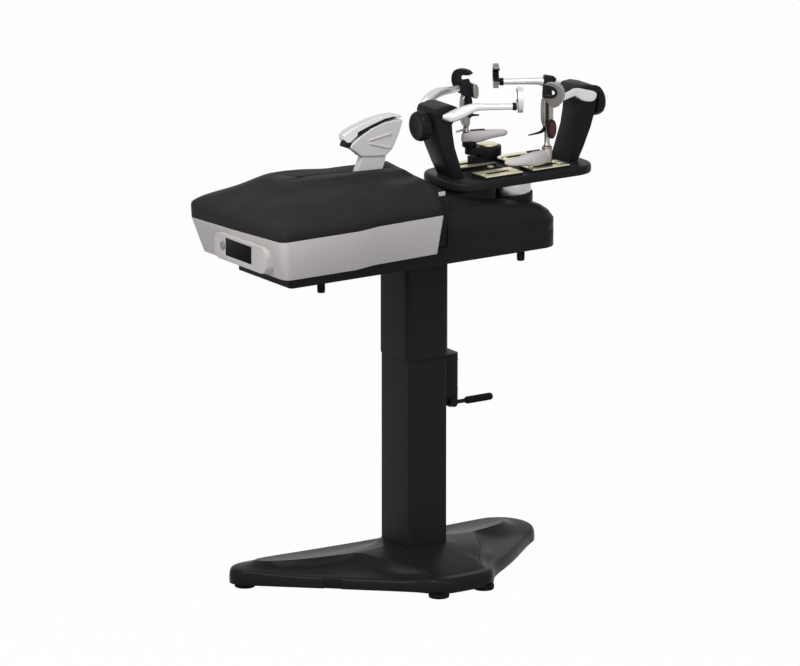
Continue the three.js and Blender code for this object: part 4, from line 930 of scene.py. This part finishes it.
def make_front_clamp():
    """The clamp on the front rails, with its red-faced lever towards the user."""
    paddle = ((344, -57, 991, 9, 14), (336, -57.5, 991, 11, 16), (318, -60, 991, 14, 17.6), (298, -61, 991, 14.6, 17),
              (276, -59.5, 990, 12.6, 13.5), (256, -56.5, 989, 9.4, 10), (238, -53, 988.4, 7, 7.6),
              (226, -50, 988, 3, 3.4))
    strip = ((286, -52), (286, -60), (322, -60), (322, -52))
    clamp_pieces("front", (
        ("foot", clamp_foot(330, -57, 22, 976, (312, -65, 963.4), (348, -49, 972)), "frame", "shoe", 1.0),
        ("paddle", blade(paddle), "blasted", "arm", 0),
        ("strip", prism(strip, 1006, 1010), "plastic", "arm", 1.0)))
    socket = ((11.4, 976.6), (12.2, 978), (12.2, 1009), (11.4, 1010), (12.6, 1011), (12.6, 1014.4), (11.6, 1015),
              (8, 1015))
    piece("clamp_front_socket", turned(socket, (*FRONT_POST, 0)), "bronze", "clamp_front_arm", slot="cast_alloy")
    clamp_head("front", *FRONT_POST, 1015.3)
    lever = ((336, -57, 1060, 4, 6), (326, -57, 1053, 3.6, 3.4), (310, -57, 1050.5, 3.2, 2.2),
             (288, -57, 1049, 1.6, 1.4))
    trigger = smooth_outline(((336, 1134), (336, 1070), (348, 1070), (348, 1134)), 1)
    pad, face = ([(342 + wide * cos(2 * pi * i / 40), 1061 + tall * sin(2 * pi * i / 40)) for i in range(40)]
                 for wide, tall in ((12.4, 23.5), (8.8, 19)))
    clamp_pieces("front", (
        ("blade", blade(lever), "plastic", "head", 0),
        ("trigger", prism(trigger, -75.4, -69.6, "y"), "bronze", "lever", 1.6),
        ("pad", prism(pad, -80, -72, "y"), "pad", "lever", 1.5),
        ("face", prism(face, -82, -79, "y"), "red", "lever", 1.5)))


# Screws by the node that they hold: their axis, and the middles of their heads.
SCREWS = {
    **{"rail_" + name: ((0, 0, 1), [(x + along, y + RAIL_DEEP / 2, 971.6) for along in (10, 97)])
       for name, (x, y) in RAILS.items()},
    "lock_housing": ((1, 0, 0), [(105.6, y, z) for y in (-26, 26) for z in (446, 520)]),
    "mast_sleeve": ((0, 1, 0), [(x, 65.4, z) for x in (-36, 36) for z in (562, 762)]),
    "chassis_pan": ((0, 0, -1), [(x, y, 782.9) for x in (-370, -180, 180) for y in (-85, 85)]),
    "gear_motor": ((-1, 0, 0), [(-457, y, z) for y in (-18, 18) for z in (850, 878)]),
}
# A screw head's height as a share of its radius.
SCREW_HEIGHT = 0.7


def make_screws(head):
    """All the cap screws, one piece for each node that they hold, grown on a small face for each screw."""
    tree = screw_tree(MATERIALS["steel"])
    for node, (axis, places) in SCREWS.items():
        mesh = bmesh.new()
        turn = Vector(axis).to_track_quat("Z", "Y")
        for place in places:
            mesh.faces.new([mesh.verts.new(Vector(spot(*place)) + turn @ Vector((a, b, 0)) * MM)
                            for a, b in ((-1, -1), (1, -1), (1, 1), (-1, 1))])
        mesh.normal_update()
        made = grown("screws_" + node, mesh, tree, {"Head": head, "Height": head * SCREW_HEIGHT})
        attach(made, HOME[node])


# Settings that a user would change.
def colour(name, code, text):
    """A colour setting with an sRGB default."""
    return bpy.props.FloatVectorProperty(
        name=name, description=text, subtype="COLOR", size=3, min=0.0, max=1.0, default=linear(code))


class StringerFinishes(bpy.types.PropertyGroup):
    frame: colour("Frame", "#1b1b1e", "Powder coat of the column, housing and towers")
    casting: colour("Base", "#1b1b1d", "Powder coat of the cast base")
    cover: colour("Cover", "#242426", "Moulded top cover")
    shell: colour("Shell", "#b0adac", "Light shell under the cover")
    plastic: colour("Plastic", "#18181a", "Handles, knobs and small fittings")
    button: colour("Button", "#77777a", "Push button beside the readout")
    rubber: colour("Rubber", "#111112", "Feet and grips")
    glass: colour("Readout", "#08090a", "Front of the readout")
    board: colour("Board", "#1c4a2c", "Circuit board")
    zinc: colour("Zinc", "#8f9397", "Plated sheet steel")
    steel: colour("Steel", "#b4b3b1", "Turned steel")
    enamel: colour("Enamel", "#bdbabb", "Gripper and its stem")
    rail: colour("Rails", "#dcd8b6", "Faces of the clamp rails")
    cast: colour("Castings", "#cfcfd1", "Side arms, the front left hook and the gripper's jaw")
    blasted: colour("Clamp arms", "#b9b4b5", "Arms of the string clamps")
    # The darker grey of the right hooks is painted shade.
    hook: colour("Hooks", "#86827f", "Hooks at the right, and the rear clamp's handle")
    bronze: colour("Clamp heads", "#8d8883", "Clamp heads and posts")
    red: colour("Red", "#3c1014", "Face of the front clamp's lever and the gasket")
    pad: colour("Pads", "#0d0d0e", "Pads that hold the racket and the string")


class StringerSizes(bpy.types.PropertyGroup):
    round: bpy.props.FloatProperty(
        name="Edge rounding", description="Factor on the width of every bevel", default=1.0, min=0.2, max=2.0)
    screw: bpy.props.FloatProperty(
        name="Screw head", description="Radius of a cap screw's head", default=0.0036, min=0.0015, max=0.005,
        subtype="DISTANCE", unit="LENGTH")
    ribs: bpy.props.IntProperty(
        name="Grip ribs", description="Number of ribs on the lock lever's grip", default=16, min=4, max=40)


class StringerStage(bpy.types.PropertyGroup):
    key: bpy.props.FloatProperty(
        name="Key light", description="Power of the wide lamp at the upper left", default=222.0, min=0.0, unit="POWER")
    fill: bpy.props.FloatProperty(
        name="Fill light", description="Power of the lamp in front", default=40.0, min=0.0, unit="POWER")
    sky: bpy.props.FloatProperty(
        name="Sky", description="Strength of the world's light on the object", default=0.2, min=0.0)
    glow: bpy.props.FloatProperty(
        name="Floor glow", description="Share of plain white in the floor as the camera sees it",
        default=0.985, min=0.0, max=1.0, subtype="FACTOR")


class STRINGER_OT_finishes(bpy.types.Operator):
    """Makes the materials from the chosen colours"""
    bl_idname = "stringer.finishes"
    bl_label = "Finishes"

    def execute(self, context):
        for key, (name, _, rough, rest) in FINISHES.items():
            MATERIALS[key] = finish(name, getattr(context.scene.stringer_finishes, key), rough, **rest)
        return {"FINISHED"}


class STRINGER_OT_stand(bpy.types.Operator):
    """Makes the cast base, the column, its sleeve and lock, and the feet"""
    bl_idname = "stringer.stand"
    bl_label = "Stand"

    def execute(self, context):
        make_base()
        make_mast()
        copies(STAND_COPIES)
        make_grip(context.scene.stringer_sizes.ribs)
        return {"FINISHED"}


class STRINGER_OT_head(bpy.types.Operator):
    """Makes the cover, the shell with its readout, the pan and the housing"""
    bl_idname = "stringer.head"
    bl_label = "Head"

    def execute(self, context):
        make_cover()
        copies(HEAD_COPIES)
        make_trim()
        return {"FINISHED"}


class STRINGER_OT_drive(bpy.types.Operator):
    """Makes the motor, the screw, the carriage and the electrical parts inside the head"""
    bl_idname = "stringer.drive"
    bl_label = "Drive"

    def execute(self, context):
        copies(DRIVE_COPIES)
        make_leadscrew()
        return {"FINISHED"}


class STRINGER_OT_puller(bpy.types.Operator):
    """Makes the stem, the gripper and its jaw"""
    bl_idname = "stringer.puller"
    bl_label = "Puller"

    def execute(self, context):
        make_puller()
        return {"FINISHED"}


class STRINGER_OT_turntable(bpy.types.Operator):
    """Makes the bearing, the plate and its rails"""
    bl_idname = "stringer.turntable"
    bl_label = "Turntable"

    def execute(self, context):
        copies(TABLE_COPIES)
        make_plate()
        make_rails()
        return {"FINISHED"}


class STRINGER_OT_towers(bpy.types.Operator):
    """Makes the two towers, their knobs, side arms and hooks"""
    bl_idname = "stringer.towers"
    bl_label = "Towers"

    def execute(self, context):
        copies(TOWER_COPIES)
        make_knobs()
        make_arms()
        return {"FINISHED"}


class STRINGER_OT_clamps(bpy.types.Operator):
    """Makes the two string clamps"""
    bl_idname = "stringer.clamps"
    bl_label = "Clamps"

    def execute(self, context):
        make_rear_clamp()
        make_front_clamp()
        return {"FINISHED"}


class STRINGER_OT_screws(bpy.types.Operator):
    """Sets the cap screws"""
    bl_idname = "stringer.screws"
    bl_label = "Screws"

    def execute(self, context):
        make_screws(context.scene.stringer_sizes.screw)
        return {"FINISHED"}


class STRINGER_OT_stage(bpy.types.Operator):
    """Puts up the floor, the lamps, the world and the camera"""
    bl_idname = "stringer.stage"
    bl_label = "Stage"

    def execute(self, context):
        look = context.scene.stringer_stage
        floor(look.glow)
        lamps(look)
        sky(context.scene, look.sky)
        camera(context.scene)
        return {"FINISHED"}


def white_rays(tree):
    """1 for the rays that should meet plain white: from the camera, off gloss and through glass."""
    path = add(tree, "ShaderNodeLightPath")
    some = add(tree, "ShaderNodeMath", {
        0: path.outputs["Is Camera Ray"], 1: path.outputs["Is Glossy Ray"]}, operation="MAXIMUM")
    return add(tree, "ShaderNodeMath", {0: some, 1: path.outputs["Is Transmission Ray"]}, operation="MAXIMUM")


# Half the floor's side, and how much light its paper gives back.
FLOOR_REACH = 60.0
PAPER = 0.55


def floor(glow):
    """A wide floor that looks white and keeps a faint shadow."""
    mesh = bmesh.new()
    mesh.faces.new([mesh.verts.new((x * FLOOR_REACH, y * FLOOR_REACH, 0.0))
                    for x, y in ((-1, -1), (1, -1), (1, 1), (-1, 1))])
    made = bpy.data.materials.new("seamless_paper_white")
    tree = cleared(made)
    paper = add(tree, "ShaderNodeBsdfDiffuse", {"Color": (PAPER, PAPER, PAPER, 1.0)})
    white = add(tree, "ShaderNodeEmission", {"Color": (1.0, 1.0, 1.0, 1.0), "Strength": 1.0})
    share = add(tree, "ShaderNodeMath", {0: white_rays(tree), 1: glow}, operation="MULTIPLY")
    mixed = add(tree, "ShaderNodeMixShader", {0: share, 1: paper, 2: white})
    add(tree, "ShaderNodeOutputMaterial", {"Surface": mixed})
    return object_of("stage_floor", mesh, made)


def lamps(look):
    """A wide key at the upper left and a weaker fill in front, both aimed at the head."""
    middle = Vector((0.0, 0.0, 0.7))
    for name, place, power, size in (
            ("stage_key", Vector((-2.6, -1.7, 3.9)), look.key, 2.6),
            ("stage_fill", Vector((0.4, -4.2, 1.9)), look.fill, 2.8)):
        lamp = bpy.data.lights.new(name, "AREA")
        lamp.energy = power
        lamp.size = size
        stand = linked(name, lamp)
        stand.location = place
        stand.rotation_euler = (place - middle).to_track_quat("Z", "Y").to_euler()


def sky(scene, strength):
    """White where it's seen, softer where it lights."""
    scene.world = bpy.data.worlds.new("stage_sky")
    tree = cleared(scene.world)
    level = add(tree, "ShaderNodeMapRange", {"Value": white_rays(tree), "To Min": strength, "To Max": 1.0})
    glow = add(tree, "ShaderNodeBackground", {"Color": (1.0, 1.0, 1.0, 1.0), "Strength": level})
    add(tree, "ShaderNodeOutputWorld", {"Surface": glow})


# The point that the camera looks at and how far off it stands, in metres, and the way from that point to it.
AIM = Vector((-0.009, 0.075, 0.580))
DISTANCE = 21.164
BACK = Vector((-0.536, -0.8068, 0.2487)).normalized()


def camera(scene):
    """A long lens far off, as the picture has almost no perspective."""
    lens = bpy.data.cameras.new("stage_camera")
    lens.lens = 400.0
    lens.sensor_width = 36.0
    lens.clip_end = 100.0
    made = linked("stage_camera", lens)
    made.location = AIM + BACK * DISTANCE
    made.rotation_euler = BACK.to_track_quat("Z", "Y").to_euler()
    scene.camera = made
    scene.view_settings.view_transform = "Standard"


class STRINGER_PT_panel(bpy.types.Panel):
    """Lists the settings and the pieces"""
    bl_idname = "STRINGER_PT_panel"
    bl_label = "Stringing machine"
    bl_space_type = "VIEW_3D"
    bl_region_type = "UI"
    bl_category = "Stringer"

    def draw(self, context):
        for group in GROUPS:
            settings = getattr(context.scene, group)
            for key in settings.__annotations__:
                self.layout.prop(settings, key)
        for step in STEPS:
            self.layout.operator(step.bl_idname)


GROUPS = {
    "stringer_finishes": StringerFinishes, "stringer_sizes": StringerSizes, "stringer_stage": StringerStage}
STEPS = (
    STRINGER_OT_finishes, STRINGER_OT_stand, STRINGER_OT_head, STRINGER_OT_drive, STRINGER_OT_puller,
    STRINGER_OT_turntable, STRINGER_OT_towers, STRINGER_OT_clamps, STRINGER_OT_screws, STRINGER_OT_stage)
CLASSES = (*GROUPS.values(), *STEPS, STRINGER_PT_panel)


def register():
    for one in CLASSES:
        bpy.utils.register_class(one)
    for name, group in GROUPS.items():
        setattr(bpy.types.Scene, name, bpy.props.PointerProperty(type=group))


def unregister():
    for name in GROUPS:
        delattr(bpy.types.Scene, name)
    for one in reversed(CLASSES):
        bpy.utils.unregister_class(one)


def main():
    register()
    bpy.ops.stringer.finishes()
    bpy.ops.stringer.stand()
    bpy.ops.stringer.head()
    bpy.ops.stringer.drive()
    bpy.ops.stringer.puller()
    bpy.ops.stringer.turntable()
    bpy.ops.stringer.towers()
    bpy.ops.stringer.clamps()
    bpy.ops.stringer.screws()
    bpy.ops.stringer.stage()


if __name__ == "__main__":
    main()
